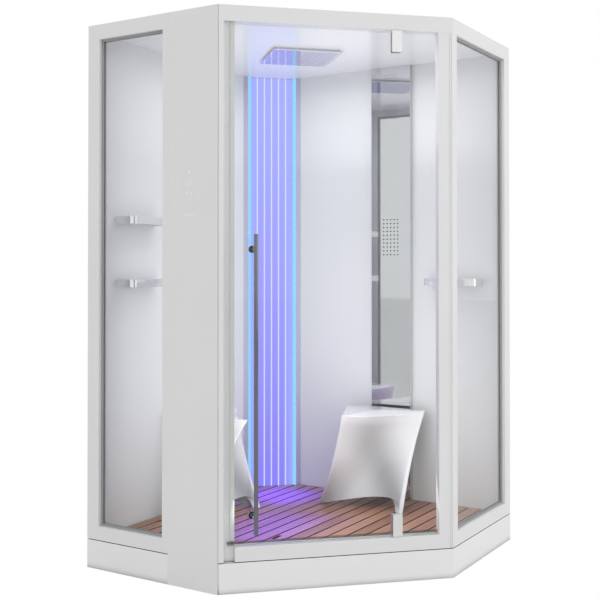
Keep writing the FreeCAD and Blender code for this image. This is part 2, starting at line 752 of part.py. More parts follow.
glass = new_body("door_glass", "front", d="door_setback")
upright_pad(glass, [
    [
        ("door_left_edge", glass_low),
        (notch_low, glass_low),
        (notch_low, f"{glass_low} + notch_height"),
        (notch_high, f"{glass_low} + notch_height"),
        (notch_high, glass_low),
        (door_right_edge, glass_low),
        (door_right_edge, glass_high),
        (notch_high, glass_high),
        (notch_high, f"{glass_high} - notch_height"),
        (notch_low, f"{glass_high} - notch_height"),
        (notch_low, glass_high),
        ("door_left_edge", glass_high),
    ],
    ("round", "handle_at", handle_levels[0], "standoff_radius + 1"),
    ("round", "handle_at", handle_levels[1], "standoff_radius + 1"),
], "door_thickness")

prism("door_strike_seal", "front",
      rectangle("strike_width - strike_seal_width", "strike_width",
                "door_setback + door_thickness + 0.3", rebate),
      f"{glass_low} + seal_cover + 2", f"{header_low} - {glass_low} - seal_cover - 4")


clamp_top_high = f"({header_low} - clamp_gap)"
clamp_top_low = f"({glass_high} - clamp_cover)"
clamp_bottom_low = f"({rail_top} + clamp_gap)"
clamp_bottom_high = f"({glass_low} + clamp_cover)"
pivot_d = "door_setback + door_thickness / 2"
clamp_s = f"({door_pivot_at} - clamp_width / 2)"


def clamp(label, low, high, web_low, web_high, filler_low, bore_low, bore_length):
    tall = f"{high} - {low}"
    pieces = [
        block(label + "_front", "front", clamp_s, "door_setback - clamp_plate", low,
              "clamp_width", "clamp_plate", tall),
        block(label + "_back", "front", clamp_s, "door_setback + door_thickness", low,
              "clamp_width", "clamp_plate", tall),
        block(label + "_web", "front", clamp_s, "door_setback", web_low,
              "clamp_width", "door_thickness", f"{web_high} - {web_low}"),
        block(label + "_filler", "front", f"{notch_low} + 1", "door_setback", filler_low,
              "notch_width - 2", "door_thickness", "notch_height - 1"),
    ]
    solid = fused(label + "_solid", pieces)
    bore = rod(label + "_bore", "front", door_pivot_at, pivot_d, bore_low, "pin_radius",
               bore_length)
    return removed(label, solid, bore)


clamp("pivot_clamp_top", clamp_top_low, clamp_top_high, glass_high, clamp_top_high,
      f"{glass_high} - notch_height + 1", f"{glass_high} - notch_height + 6",
      "notch_height + door_top_gap")
clamp("pivot_clamp_bottom", clamp_bottom_low, clamp_bottom_high, clamp_bottom_low, glass_low,
      glass_low, clamp_bottom_low, "notch_height + door_bottom_gap - 8")

bundled("pivot_pins", [
    rod("pin_top", "front", door_pivot_at, pivot_d, f"{glass_high} - notch_height + 6",
        "pin_radius", "notch_height - 6 + door_top_gap + bush_length - 2"),
    rod("pin_bottom", "front", door_pivot_at, pivot_d, f"{rail_top} - bush_length + 2",
        "pin_radius", "bush_length - 2 + clamp_gap + notch_height + door_bottom_gap - 8"),
])


def bush(label, low):
    outer = rod(label + "_outer", "front", door_pivot_at, pivot_d, low, "bush_radius",
                "bush_length")
    hole = rod(label + "_hole", "front", door_pivot_at, pivot_d, low, "pin_radius + pin_play",
               "bush_length")
    return removed(label, outer, hole)


bundled("pivot_bushes", [bush("bush_top", header_low), bush("bush_bottom", f"{rail_top} - bush_length")])

screw_levels = []
for low in (clamp_top_low, f"{glass_low} + notch_height + 6"):
    for step in (14, 38):
        screw_levels.append(f"{low} + {step}")
bundled("clamp_screws", [
    rod("clamp_screw_%d" % number, "front", door_pivot_at,
        "door_setback + door_thickness + clamp_plate", level, "4.5", "2", "inward")
    for number, level in enumerate(screw_levels)
])

# Clear channel on the lower edge of the glass, in two lengths either side of the clamp
seal_low = f"({glass_low} - 6)"
seal_runs = [
    ("door_left_edge + 2", f"{clamp_s} - 1"),
    (f"{clamp_s} + clamp_width + 1", f"{door_right_edge} - 2"),
]
seals = []
for number, (start, end) in enumerate(seal_runs):
    channel = block("seal_channel_%d" % number, "front", start, "door_setback - seal_wall", seal_low,
                    f"({end}) - ({start})", "door_thickness + 2 * seal_wall", "6 + seal_cover")
    gap = block("seal_gap_%d" % number, "front", start, "door_setback", glass_low,
                f"({end}) - ({start})", "door_thickness", "seal_cover + 1")
    seals.append(removed("seal_%d" % number, channel, gap))
bundled("door_bottom_seal", seals)

handle = new_body("door_handle", "front")
pad(handle, [("round", "handle_at", "0 - handle_reach", "handle_radius")],
    "handle_bottom", "handle_length")
round_edges(handle, 2.5, lambda edge: True)

standoffs = []
for number, level in enumerate(handle_levels):
    stem = rod("standoff_stem_%d" % number, "front", "handle_at", "handle_radius - handle_reach - 0.5",
               level, "standoff_radius", "handle_reach - handle_radius + 0.5 + door_setback + door_thickness",
               "inward")
    disc = rod("standoff_disc_%d" % number, "front", "handle_at", "door_setback - 7", level,
               "knob_radius", "7", "inward")
    knob = rod("standoff_knob_%d" % number, "front", "handle_at", "door_setback + door_thickness",
               level, "knob_radius + 3", "12", "inward")
    solid = fused("standoff_solid_%d" % number, [stem, disc, knob])
    tube = rod("standoff_tube_%d" % number, "front", "handle_at", "0 - handle_reach",
               f"{level} - 20", "handle_radius", "40")
    standoffs.append(removed("standoff_%d" % number, solid, tube))
bundled("handle_standoffs", standoffs)

# --------------------------------------------------------------------------
# Service space: cover, liner, controls and steam tank
# --------------------------------------------------------------------------
sheet_blank = prism("service_sheet", "left", rectangle(panel_start, "return_length", "0", "panel_sheet"),
                    "0", "overall_height")
touch_recess = block("touch_recess", "left", touch_at, "0", "touch_bottom",
                     "touch_width", "touch_sheet", "touch_height")
removed("service_panel", sheet_blank, touch_recess)
block("touch_control", "left", touch_at, "0", "touch_bottom",
      "touch_width", "touch_sheet", "touch_height")
block("control_box", "left", f"{touch_at} - 15", "panel_sheet", "touch_bottom - 40",
      "touch_width + 30", "26", "touch_height + 80")

jamb_x = f"(return_length - {half} + (strike_width - post_depth) * cos(45))"
jamb_y = f"((strike_width + post_depth) * cos(45) - {half})"
inner_y = f"({cabinet_y} - liner_sheet)"
prism("cabinet_liner", "plan", [
    (mullion_x, f"post_depth - {half}"),
    (mullion_x, cabinet_y),
    (cabinet_x, cabinet_y),
    (jamb_x, jamb_y),
    (f"{jamb_x} - liner_sheet * cos(45)", f"{jamb_y} - liner_sheet * cos(45)"),
    (f"{cabinet_x} - liner_sheet * 0.47", inner_y),
    (f"{mullion_x} + liner_sheet", inner_y),
    (f"{mullion_x} + liner_sheet", f"post_depth - {half}"),
], seat, wall_height)

tank = new_body("steam_generator")
pad(tank, [("round", boiler_x, boiler_y, "boiler_radius")], seat, "boiler_height")
round_edges(tank, 18, lambda edge: edge.CenterOfMass.z > 300 and edge.Length > 300)
pad(tank, [("round", f"{boiler_x} + 32", boiler_y, "9")], f"{seat} + boiler_height - 1", "16")


def bent_tube(radius, bore, points, bends):
    """A round tube along straight runs joined by tangent arcs."""
    edges = []
    start = points[0]
    for index in range(1, len(points) - 1):
        corner = points[index]
        before = (corner - points[index - 1]).normalize()
        after = (points[index + 1] - corner).normalize()
        turn = before.getAngle(after)
        bend = bends[index - 1]
        setback = bend * math.tan(turn / 2)
        enter = corner - before * setback
        leave = corner + after * setback
        middle_way = (after - before).normalize()
        centre = corner + middle_way * (bend / math.cos(turn / 2))
        middle = centre - middle_way * bend
        edges.append(Part.LineSegment(start, enter).toShape())
        edges.append(Part.Arc(enter, middle, leave).toShape())
        start = leave
    edges.append(Part.LineSegment(start, points[-1]).toShape())
    path = Part.Wire(edges)
    direction = (points[1] - points[0]).normalize()
    shells = []
    for size_of in (radius, bore):
        ring = Part.Wire(Part.makeCircle(size_of, points[0], direction))
        shells.append(path.makePipeShell([ring], True, True))
    return shells[0].cut(shells[1])


doc.recompute()
seat_z = size("tray_height") + size("shadow_gap")
top_z = size("overall_height")
ceiling_z = top_z - size("roof_drop")
reach = size("footprint") / 2
tube_radius = size("pipe_radius")
tube_bore = size("pipe_bore")
void_z = ceiling_z + size("roof_sheet") + 12

steam_top = seat_z + size("boiler_height")
liner_back = size("cabinet_depth") - reach
boiler = Vector(size("return_length") - size("boiler_from_corner") - reach, size("boiler_in") - reach, 0)
outlet_z = size("steam_outlet_z")
shaped("steam_pipe", bent_tube(8, 6.5, [
    boiler + Vector(0, 0, steam_top),
    boiler + Vector(0, 0, outlet_z),
    Vector(boiler.x, liner_back - size("liner_sheet"), outlet_z),
], [30]))

outlet_solid = fused("outlet_solid", [
    rod("outlet_flange", "plan", boiler_x, cabinet_y, "steam_outlet_z", "24", "4", "inward"),
    rod("outlet_nose", "plan", boiler_x, cabinet_y, "steam_outlet_z", "15", "22", "inward"),
])
outlet_slot = block("outlet_slot", "plan", f"{boiler_x} - 10", f"{cabinet_y} + 8", "steam_outlet_z - 20",
                    "20", "10", "20")
removed("steam_outlet", outlet_solid, outlet_slot)

# --------------------------------------------------------------------------
# Corner light panel, and the service space behind it
# --------------------------------------------------------------------------
bar_end = "(light_frame + light_bar)"
far_side = light_width
back_d = "(light_recess + light_back)"
prism("light_panel_frame", "light", [
    ("0", "0"),
    ("light_frame", "0"),
    ("light_frame", "0 - light_step"),
    (bar_end, "0 - light_step"),
    (bar_end, "0 - light_recess"),
    (f"{far_side} - {bar_end}", "0 - light_recess"),
    (f"{far_side} - {bar_end}", "0 - light_step"),
    (f"{far_side} - light_frame", "0 - light_step"),
    (f"{far_side} - light_frame", "0"),
    (far_side, "0"),
    (f"{far_side} - {back_d}", f"0 - {back_d}"),
    (back_d, f"0 - {back_d}"),
], seat, wall_height)

fin_outline = [(bar_end, "0 - light_recess"), (bar_end, "light_back - light_recess")]
for k in (-2, -1, 0, 1, 2):
    left = f"{far_side} / 2 + {k} * fin_pitch - fin_width / 2"
    fin_outline += [
        (left, "light_back - light_recess"),
        (left, "light_back - light_recess + fin_height"),
        (f"{left} + fin_width", "light_back - light_recess + fin_height"),
        (f"{left} + fin_width", "light_back - light_recess"),
    ]
fin_outline += [
    (f"{far_side} - {bar_end}", "light_back - light_recess"),
    (f"{far_side} - {bar_end}", "0 - light_recess"),
]
prism("light_diffuser", "light", fin_outline, f"{seat} + 2", f"{wall_height} - 4")

bundled("light_bars", [
    block("light_bar_%d" % number, "light", start, "0 - light_step", f"{seat} + 2",
          "light_bar", "light_step - 3", f"{wall_height} - 4")
    for number, start in enumerate(("light_frame", f"{far_side} - {bar_end}"))
])
block("light_driver", "light", f"{far_side} / 2 - 25", f"0 - {back_d} - 28", f"{ceiling} - 650",
      "50", "28", "200")

# Valve block on the rear wall, in the corner behind the light panel
valve_front = "(footprint / 2 - wall_sheet - 42)"
valve_body = block("valve_body", "plan", f"{inlet_x[0]} - 20", valve_front, "inlet_height - 50",
                   "inlet_spacing + 40", "42", "110")
solenoid = rod("solenoid", "plan", f"{inlet_x[0]} + inlet_spacing / 2", f"{valve_front} + 14",
               "inlet_height + 60", "10", "34")
fused("water_valve_block", [valve_body, solenoid])

nipples = []
for number, x in enumerate(inlet_x):
    outer = rod("nipple_outer_%d" % number, "plan", x, f"{half} - wall_sheet", "inlet_height",
                "inlet_radius", "wall_sheet", "inward")
    hole = rod("nipple_hole_%d" % number, "plan", x, f"{half} - wall_sheet", "inlet_height",
               "inlet_bore", "wall_sheet", "inward")
    nipples.append(removed("nipple_%d" % number, outer, hole))
bundled("water_inlets", nipples)

# Both feeds rise behind the light panel and run across above the roof
RISER_BEND = 12
rain_riser_x = f"({inlet_x[0]} - 6)"
column_riser_x = f"({inlet_x[1]} + 6)"
rain_riser_y = f"({half} - 46)"
column_riser_y = f"({half} - 39)"
first_inlet = size("inlet_first") - reach
second_inlet = first_inlet + size("inlet_spacing")
valve_top = size("inlet_height") + 60
rain_riser = Vector(first_inlet - 6, reach - 46, 0)
column_riser = Vector(second_inlet + 6, reach - 39, 0)
head = Vector(size("rain_from_side") - reach, reach - size("rain_from_rear"), void_z)
rain_way = (head - Vector(rain_riser.x, rain_riser.y, void_z)).normalize()
shaped("rain_feed_pipe", bent_tube(tube_radius, tube_bore, [
    rain_riser + Vector(0, 0, valve_top),
    rain_riser + Vector(0, 0, void_z),
    head - rain_way * size("rain_boss"),
], [RISER_BEND]))
column_middle = reach - size("column_from_right")
column_top = Vector(column_middle, column_riser.y, void_z)
shaped("column_feed_pipe", bent_tube(tube_radius, tube_bore, [
    column_riser + Vector(0, 0, valve_top),
    column_riser + Vector(0, 0, void_z),
    column_top,
    Vector(column_top.x, column_top.y, ceiling_z),
], [RISER_BEND, RISER_BEND]))

# --------------------------------------------------------------------------
# Roof and rain head
# --------------------------------------------------------------------------
roof_edge = "(header_shoulder)"
roof_diagonal = f"(return_length - {roof_edge} * sqrt(2))"
near = f"({half} - {roof_edge})"
roof = new_body("roof_panel")
pad(roof, [[
    (f"wall_shoulder - {half}", f"-{near}"),
    (f"{roof_diagonal} - {near}", f"-{near}"),
    (near, f"{near} - {roof_diagonal}"),
    (near, f"{half} - wall_shoulder"),
    (f"wall_shoulder - {half}", f"{half} - wall_shoulder"),
]], ceiling, "roof_sheet")
pocket(roof, [
    ("round", rain_x, rain_y, "rain_boss + 1"),
    ("round", rain_riser_x, rain_riser_y, "pipe_radius + 1.5"),
    ("round", column_riser_x, column_riser_y, "pipe_radius + 1.5"),
    ("round", column_x, column_riser_y, "pipe_radius + 1.5"),
], f"{ceiling} + roof_sheet", "roof_sheet")

rain_low = f"({ceiling} - rain_drop)"


def square_slab(label, side_length, low, height):
    """A square slab turned to lie parallel to the door."""
    slab = doc.addObject("Part::Box", label)
    slab.Label = label
    slab.setExpression("Length", bound(side_length))
    slab.setExpression("Width", bound(side_length))
    slab.setExpression("Height", bound(height))
    slab.Placement = Placement(Vector(), Rotation(Vector(0, 0, 1), 45))
    slab.setExpression("Placement.Base.x", bound(rain_x))
    slab.setExpression("Placement.Base.y", bound(f"{rain_y} - ({side_length}) * sqrt(2) / 2"))
    slab.setExpression("Placement.Base.z", bound(low))
    return slab


square_slab("rain_head_plate", "rain_side", rain_low, "rain_sheet")
fused("rain_head_body", [
    square_slab("rain_box", "rain_side - 24", f"{rain_low} + rain_sheet", "rain_drop - rain_sheet"),
    rod("rain_inlet", "plan", rain_x, rain_y, f"{ceiling} - 1", "rain_boss", "roof_drop - 3"),
])

# --------------------------------------------------------------------------
# Shower column: mirror sheet, three nozzle fields, water way behind
# --------------------------------------------------------------------------
column_s = "column_from_right"
column_low = f"({slat_top} + column_foot)"
front_d = "(wall_sheet + column_reach)"
left_s = f"({column_s} - column_width / 2)"
right_s = f"({column_s} + column_width / 2)"
column_blank = prism("column_blank", "rear", [
    (left_s, "wall_sheet"),
    (left_s, front_d),
    (right_s, front_d),
    (right_s, "wall_sheet"),
    (f"{right_s} - column_sheet", "wall_sheet"),
    (f"{right_s} - column_sheet", f"{front_d} - column_sheet"),
    (f"{left_s} + column_sheet", f"{front_d} - column_sheet"),
    (f"{left_s} + column_sheet", "wall_sheet"),
], column_low, f"{ceiling} - {column_low}")

# The fields of nozzles, each by the start of its size names
NOZZLE_FIELDS = {"body_jets": ["jets"], "spray_nozzles": ["spray", "crown"]}

doc.recompute()
front_y = reach - size("wall_sheet") - size("column_reach")
skin = size("column_sheet")
bores = []
inward = Vector(0, 1, 0)
for name, fields in NOZZLE_FIELDS.items():
    nozzles = []
    for field in fields:
        columns = int(size(field + "_columns"))
        rows = int(size(field + "_rows"))
        head_radius = size(field + "_head")
        stem_radius = head_radius * 0.7
        middle_z = ceiling_z - size(field + "_drop")
        for column in range(columns):
            for row in range(rows):
                x = column_middle + (column - (columns - 1) / 2) * size(field + "_across")
                z = middle_z + (row - (rows - 1) / 2) * size(field + "_up")
                face = Vector(x, front_y, z)
                stem = Part.makeCylinder(stem_radius, skin + 0.2, face - inward * 0.2, inward)
                cap = Part.makeCone(stem_radius, head_radius, 1.4, face - inward * 1.4, inward)
                nozzles.append(cap.fuse(stem).removeSplitter())
                bores.append(Part.makeCylinder(stem_radius, skin + 1, face, inward))
    shaped(name, Part.makeCompound(nozzles))
bore_set = shaped("nozzle_bores", Part.makeCompound(bores))
removed("shower_column", column_blank, bore_set)

water_boxes = [
    rod("water_way", "rear", column_s, "39", f"{ceiling} - jets_drop - 46", "pipe_radius",
        "jets_drop + 46"),
]
for fields in NOZZLE_FIELDS.values():
    for field in fields:
        wide = f"({field}_columns * {field}_across + 8)"
        tall = f"({field}_rows * {field}_up + 8)"
        water_boxes.append(block(
            "water_box_" + field, "rear", f"{column_s} - {wide} / 2", f"{front_d} - column_sheet - 10",
            f"{ceiling} - {field}_drop - {tall} / 2", wide, "10", tall))
fused("column_manifold", water_boxes)

# --------------------------------------------------------------------------
# Shelves: a pale plate inside a polished band
# --------------------------------------------------------------------------
def shelf(name, side, middle, top):
    s_low = f"{middle} - shelf_length / 2"
    s_high = f"{middle} + shelf_length / 2"
    low = f"{top} - shelf_band"
    outer = rounded_slab(name + "_outer", side, s_low, s_high, "wall_sheet",
                         "wall_sheet + shelf_reach", low, "shelf_band", "shelf_corner")
    inner = rounded_slab(name + "_inner", side, f"{s_low} + band_sheet", f"{s_high} - band_sheet",
                         "wall_sheet", "wall_sheet + shelf_reach - band_sheet", low,
                         "shelf_band", "shelf_corner - band_sheet")
    plate = rounded_slab(name + "_plate", side, f"{s_low} + band_sheet", f"{s_high} - band_sheet",
                         "wall_sheet", "wall_sheet + shelf_reach - band_sheet",
                         f"{top} - shelf_plate - 1", "shelf_plate", "shelf_corner - band_sheet")
    return plate, removed(name + "_band", outer, inner)


shelves = [
    shelf("upper_left", "side", "(footprint - left_shelf_at)", "upper_shelf_top"),
    shelf("lower_left", "side", "(footprint - left_shelf_at)", "lower_shelf_top"),
    shelf("right", "rear", "right_shelf_at", "lower_shelf_top"),
]
bundled("shelf_plates", [plate for plate, band in shelves])
bundled("shelf_bands", [band for plate, band in shelves])

# --------------------------------------------------------------------------
# Stools: hollow three-cornered shells whose seat is turned against the base
# --------------------------------------------------------------------------
SEAT_CORNERS = [Vector(-30, -246, 0), Vector(224, 106, 0), Vector(-204, 127, 0)]
BASE_CORNERS = [Vector(-222, -130, 0), Vector(200, -98, 0), Vector(-7, 146, 0)]
CORNER_SHARE = 0.05
ARCH_SHARES = [0.05, 0.1, 0.18, 0.3, 0.45, 0.6, 0.7, 0.78, 0.85, 0.9, 0.93, 0.95]


def arch_rise(share):
    """Height of the gap under a side, by share of the way from foot to foot."""
    top = size("stool_arch")
    if share < 0.78:
        return top * (1 - ((0.78 - share) / 0.76) ** 1.6)
    return top * math.sqrt(1 - ((share - 0.78) / 0.175) ** 2)


def side_ways(first, second):
    """Along one side of the triangle, and inward from it."""
    along = (second - first).normalize()
    return along, Vector(-along.y, along.x, 0)


def inset_corners(corners, inset):
    """Moves each side of a triangle inward by the inset."""
    moved = []
    for k in range(3):
        back, back_in = side_ways(corners[k - 1], corners[k])
        ahead, ahead_in = side_ways(corners[k], corners[(k + 1) % 3])
        half_turn = (back * -1).getAngle(ahead) / 2
        moved.append(corners[k] + (back_in + ahead_in).normalize() * (inset / math.sin(half_turn)))
    return moved


def stool_section(level, inset, height):
    """Three hollow sides and three small round corners at a share of the height."""
    mid_share = 4 * level * (1 - level)
    pull = 1 - size("stool_waist") * mid_share
    caves = (size("stool_front_cave"), size("stool_side_cave"), size("stool_side_cave"))
    corners = inset_corners([
        (base + (top - base) * level) * pull for base, top in zip(BASE_CORNERS, SEAT_CORNERS)], inset)
    lift = Vector(0, 0, height)
    edges = []
    for k in range(3):
        before, corner, after = corners[k - 1], corners[k], corners[(k + 1) % 3]
        enter = corner + (before - corner) * CORNER_SHARE
        leave = corner + (after - corner) * CORNER_SHARE
        tip = (enter + leave) * 0.25 + corner * 0.5
        following = after + (corner - after) * CORNER_SHARE
        inward = side_ways(corner, after)[1]
        middle = (leave + following) * 0.5 + inward * (size("stool_bow") + caves[k] * mid_share)
        edges.append(Part.Arc(enter + lift, tip + lift, leave + lift).toShape())
        edges.append(Part.Arc(leave + lift, middle + lift, following + lift).toShape())
    return Part.Wire(edges)


def stool_shell():
    height = size("stool_height")
    skin_width = size("stool_skin")
    levels = [k / 6 for k in range(7)]
    outer = Part.makeLoft(
        [stool_section(level, 0, level * height) for level in levels], True, False)
    hollow_levels = [-0.02] + levels[1:-1] + [0.92]
    inner = Part.makeLoft(
        [stool_section(level, skin_width, level * height) for level in hollow_levels], True, False)
    shell = outer.cut(inner)
    middle = (SEAT_CORNERS[0] + SEAT_CORNERS[1]) * 0.5
    rim = Vector(middle.x, middle.y, height - size("stool_dip"))
    centre = Vector(0, 0, height + 1)
    way = (rim - centre).normalize()
    up = way.cross(Vector(-middle.y, middle.x, 0)).normalize()
    if up.z < 0:
        up = up * -1
    radius = 1000
    shell = shell.cut(Part.makeCylinder(radius, 500, centre - way * 40 + up * radius, way))
    for k in range(3):
        start = BASE_CORNERS[k]
        chord = BASE_CORNERS[(k + 1) % 3] - start
        outward = Vector(chord.y, -chord.x, 0).normalize()
        outline = [(0.02, -6)] + [(share, arch_rise(share)) for share in ARCH_SHARES] + [(0.957, -6)]
        points = [
            start + chord * share + Vector(0, 0, rise) - outward * 50 for share, rise in outline]
        curve = Part.BSplineCurve()
        curve.interpolate(points)
        wire = Part.Wire([curve.toShape(), Part.LineSegment(points[-1], points[0]).toShape()])
        shell = shell.cut(Part.Face(wire).extrude(outward * 120))
    solids = sorted(shell.Solids, key=lambda solid: solid.Volume)
    return solids[-1]


# The stools rest on the slats, each with its short foot towards its wall.
STOOLS = {
    "stool_right": (reach - size("right_stool_side"), reach - size("right_stool_rear"), 0),
    "stool_left": (size("left_stool_side") - reach, reach - size("left_stool_rear"), 78),
}
shell = stool_shell()
slat_z = seat_z - size("ledge_drop") + size("slat_thickness")
for name, (x, y, turn) in STOOLS.items():
    stool = shaped(name, shell.copy())
    stool.Placement = Placement(Vector(x, y, slat_z), Rotation(Vector(0, 0, 1), turn))

# --------------------------------------------------------------------------
# Check and write
# --------------------------------------------------------------------------
NODES = """
shower_tray tray_support_frame levelling_feet drain_trap drain_cover duckboard_battens
duckboard_slats wall_panel_left wall_panel_right post_left_rear post_mullion post_door_strike
post_door_pivot post_right_rear header_left header_front header_right bottom_rail_left door_sill
bottom_rail_right side_glass_left side_glass_right glazing_gasket_left glazing_gasket_right
door_glass door_strike_seal door_bottom_seal pivot_clamp_top pivot_clamp_bottom pivot_pins
pivot_bushes clamp_screws door_handle handle_standoffs service_panel cabinet_liner touch_control
control_box steam_generator steam_pipe steam_outlet light_panel_frame light_diffuser light_bars
light_driver water_valve_block water_inlets rain_feed_pipe column_feed_pipe roof_panel
rain_head_plate rain_head_body shower_column body_jets spray_nozzles column_manifold
shelf_plates shelf_bands stool_right stool_left
""".split()

doc.recompute()
os.makedirs("parts", exist_ok=True)
broken = [
    "%s (%s)" % (obj.Label, obj.getStatusString())
    for obj in doc.Objects
    if "Invalid" in obj.State or "Error" in obj.State
]
if broken:
    raise RuntimeError("could not be built: " + ", ".join(broken))
for label in NODES:
    piece = doc.getObjectsByLabel(label)[0]
    if piece.Shape.isNull() or not piece.Shape.isValid():
        raise RuntimeError("no sound shape: " + label)
    piece.Shape.exportStep("parts/%s.step" % label)
    box = piece.Shape.BoundBox
    print("%-22s solids %3d  volume %10.1f cm3  x %7.1f %7.1f  y %7.1f %7.1f  z %7.1f %7.1f" % (
        label, len(piece.Shape.Solids), piece.Shape.Volume / 1000,
        box.XMin, box.XMax, box.YMin, box.YMax, box.ZMin, box.ZMax))
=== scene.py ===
import math

import bmesh
import bpy
from mathutils import Euler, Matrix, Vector


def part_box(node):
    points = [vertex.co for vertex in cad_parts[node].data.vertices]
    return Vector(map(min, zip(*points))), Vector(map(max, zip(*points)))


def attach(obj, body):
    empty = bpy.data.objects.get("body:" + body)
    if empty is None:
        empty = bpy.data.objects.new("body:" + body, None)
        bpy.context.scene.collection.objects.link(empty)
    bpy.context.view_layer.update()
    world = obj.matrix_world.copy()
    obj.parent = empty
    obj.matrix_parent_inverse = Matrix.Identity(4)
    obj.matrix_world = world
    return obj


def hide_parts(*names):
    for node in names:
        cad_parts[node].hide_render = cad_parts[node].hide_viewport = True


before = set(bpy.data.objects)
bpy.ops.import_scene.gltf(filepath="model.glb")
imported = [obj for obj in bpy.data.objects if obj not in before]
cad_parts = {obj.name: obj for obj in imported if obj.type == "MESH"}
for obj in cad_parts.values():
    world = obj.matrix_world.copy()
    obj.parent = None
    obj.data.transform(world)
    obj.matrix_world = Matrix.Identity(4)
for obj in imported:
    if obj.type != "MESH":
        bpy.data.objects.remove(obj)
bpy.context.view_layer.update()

# --------------------------------------------------------------------------
# Support frame and feet: steel tube, welded and zinc coated, under the tray.
# Black plastic feet screw into the frame and set the cabin level.
# --------------------------------------------------------------------------
# Edges and depths in metres, the drift of tone and the size of marks in millimetres
EDGE_SAMPLES = 4
COATED_EDGE = 0.0012
METAL_EDGE = 0.0006
SKIN_DEPTH = 0.0004
MARK_DEPTH = 0.0002
LEAST_WORN = 0.8
MOST_WORN = 1.25
TONE_DRIFT = 333


def linear(hex_colour):
    """An sRGB hex colour as linear red, green, blue and a full alpha."""
    channels = [int(hex_colour[k:k + 2], 16) / 255 for k in (1, 3, 5)]
    return tuple(
        c / 12.92 if c <= 0.04045 else ((c + 0.055) / 1.055) ** 2.4 for c in channels) + (1.0,)


def per_metre(millimetres):
    """Scale of a pattern whose marks have this size."""
    return 1000 / millimetres


def node(tree, kind, settings=None, inputs=None, links=None):
    """Adds a shader node, sets its properties and sockets, and links other nodes' outputs in."""
    made = tree.nodes.new(kind)
    for name, value in (settings or {}).items():
        setattr(made, name, value)
    for name, value in (inputs or {}).items():
        made.inputs[name].default_value = value
    for name, (source, output) in (links or {}).items():
        tree.links.new(source.outputs[output], made.inputs[name])
    return made


def new_material(name):
    """A new material and its empty node tree."""
    material = bpy.data.materials.new(name)
    material.use_nodes = True
    material.node_tree.nodes.clear()
    return material, material.node_tree


def finish_material(tree, shader, output="BSDF"):
    """Links the shader to the surface."""
    node(tree, "ShaderNodeOutputMaterial", links={"Surface": (shader, output)})


def worked_normal(tree, pattern, strength, depth, edge):
    """Softened edges, and the relief of a pattern at this depth in metres."""
    rounded = node(tree, "ShaderNodeBevel", {"samples": EDGE_SAMPLES}, {"Radius": edge})
    return node(tree, "ShaderNodeBump", inputs={"Strength": strength, "Distance": depth},
                links={"Height": (pattern, "Fac"), "Normal": (rounded, "Normal")})


def metal(name, colour, roughness, marks_size, bump):
    """Bright metal with drawn marks of this size along x, y and z, in millimetres."""
    material, tree = new_material(name)
    place = node(tree, "ShaderNodeTexCoord")
    stretched = node(tree, "ShaderNodeMapping",
                     inputs={"Scale": [per_metre(size) for size in marks_size]},
                     links={"Vector": (place, "Object")})
    marks = node(tree, "ShaderNodeTexNoise", inputs={"Scale": 1.0, "Detail": 4.0},
                 links={"Vector": (stretched, "Vector")})
    relief = worked_normal(tree, marks, bump, MARK_DEPTH, METAL_EDGE)
    worn = node(tree, "ShaderNodeMapRange",
                inputs={"To Min": roughness * LEAST_WORN, "To Max": roughness * MOST_WORN},
                links={"Value": (marks, "Fac")})
    shader = node(tree, "ShaderNodeBsdfPrincipled",
                  inputs={"Base Color": linear(colour), "Metallic": 1.0},
                  links={"Normal": (relief, "Normal"), "Roughness": (worn, "Result")})
    finish_material(tree, shader)
    return material


def coated(name, colour, darker, roughness, grain, bump, coat=0.0, shade=None, hollow=None):
    """Paint, enamel or moulded plastic: slight tone drift, a fine skin and softened edges.

    The grain is the size of the skin's dimples in millimetres. A shade is painted shade: the
    colour painted into close hollows, the reach in metres at which a surface counts as covered,
    and the shares of open sky between which it fades. A hollow is the name of the mesh attribute
    that holds how much more of the painted shade colour each place takes.
    """
    material, tree = new_material(name)
    place = node(tree, "ShaderNodeTexCoord")
    drift = node(tree, "ShaderNodeTexNoise",
                 inputs={"Scale": per_metre(TONE_DRIFT), "Detail": 3.0, "Roughness": 0.5},
                 links={"Vector": (place, "Object")})
    tone = node(tree, "ShaderNodeMix", {"data_type": "RGBA"},
                {6: linear(colour), 7: linear(darker)}, {"Factor": (drift, "Fac")})
    # Painted shade: ambient occlusion blends the colour towards the deep colour in close hollows.
    if shade:
        deep, reach, closed, opened = shade
        sky = node(tree, "ShaderNodeAmbientOcclusion", {"samples": 8}, {"Distance": reach})
        light = node(tree, "ShaderNodeMapRange", inputs={"From Min": closed, "From Max": opened},
                     links={"Value": (sky, "AO")})
        tone = node(tree, "ShaderNodeMix", {"data_type": "RGBA"}, {6: linear(deep)},
                    {"Factor": (light, "Result"), 7: (tone, 2)})
    # Painted shade: the named mesh attribute blends in more of the deep shade colour, place by place.
    if hollow:
        depth = node(tree, "ShaderNodeAttribute", {"attribute_name": hollow})
        tone = node(tree, "ShaderNodeMix", {"data_type": "RGBA"}, {7: linear(shade[0])},
                    {"Factor": (depth, "Fac"), 6: (tone, 2)})
    skin = node(tree, "ShaderNodeTexNoise", inputs={"Scale": per_metre(grain), "Detail": 2.0},
                links={"Vector": (place, "Object")})
    relief = worked_normal(tree, skin, bump, SKIN_DEPTH, COATED_EDGE)
    shader = node(tree, "ShaderNodeBsdfPrincipled",
                  inputs={"Roughness": roughness, "Coat Weight": coat, "Coat Roughness": 0.05},
                  links={"Normal": (relief, "Normal"), "Base Color": (tone, 2)})
    finish_material(tree, shader)
    return material


def dress(material, *names):
    """Gives CAD nodes their material."""
    for name in names:
        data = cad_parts[name].data
        data.materials.clear()
        data.materials.append(material)


# Hot-dip zinc: dull grey metal with soft spangles.
zinc_steel = metal("zinc_coated_steel", "#9da0a3", 0.45, (8.33, 8.33, 8.33), 0.3)
dress(zinc_steel, "tray_support_frame")
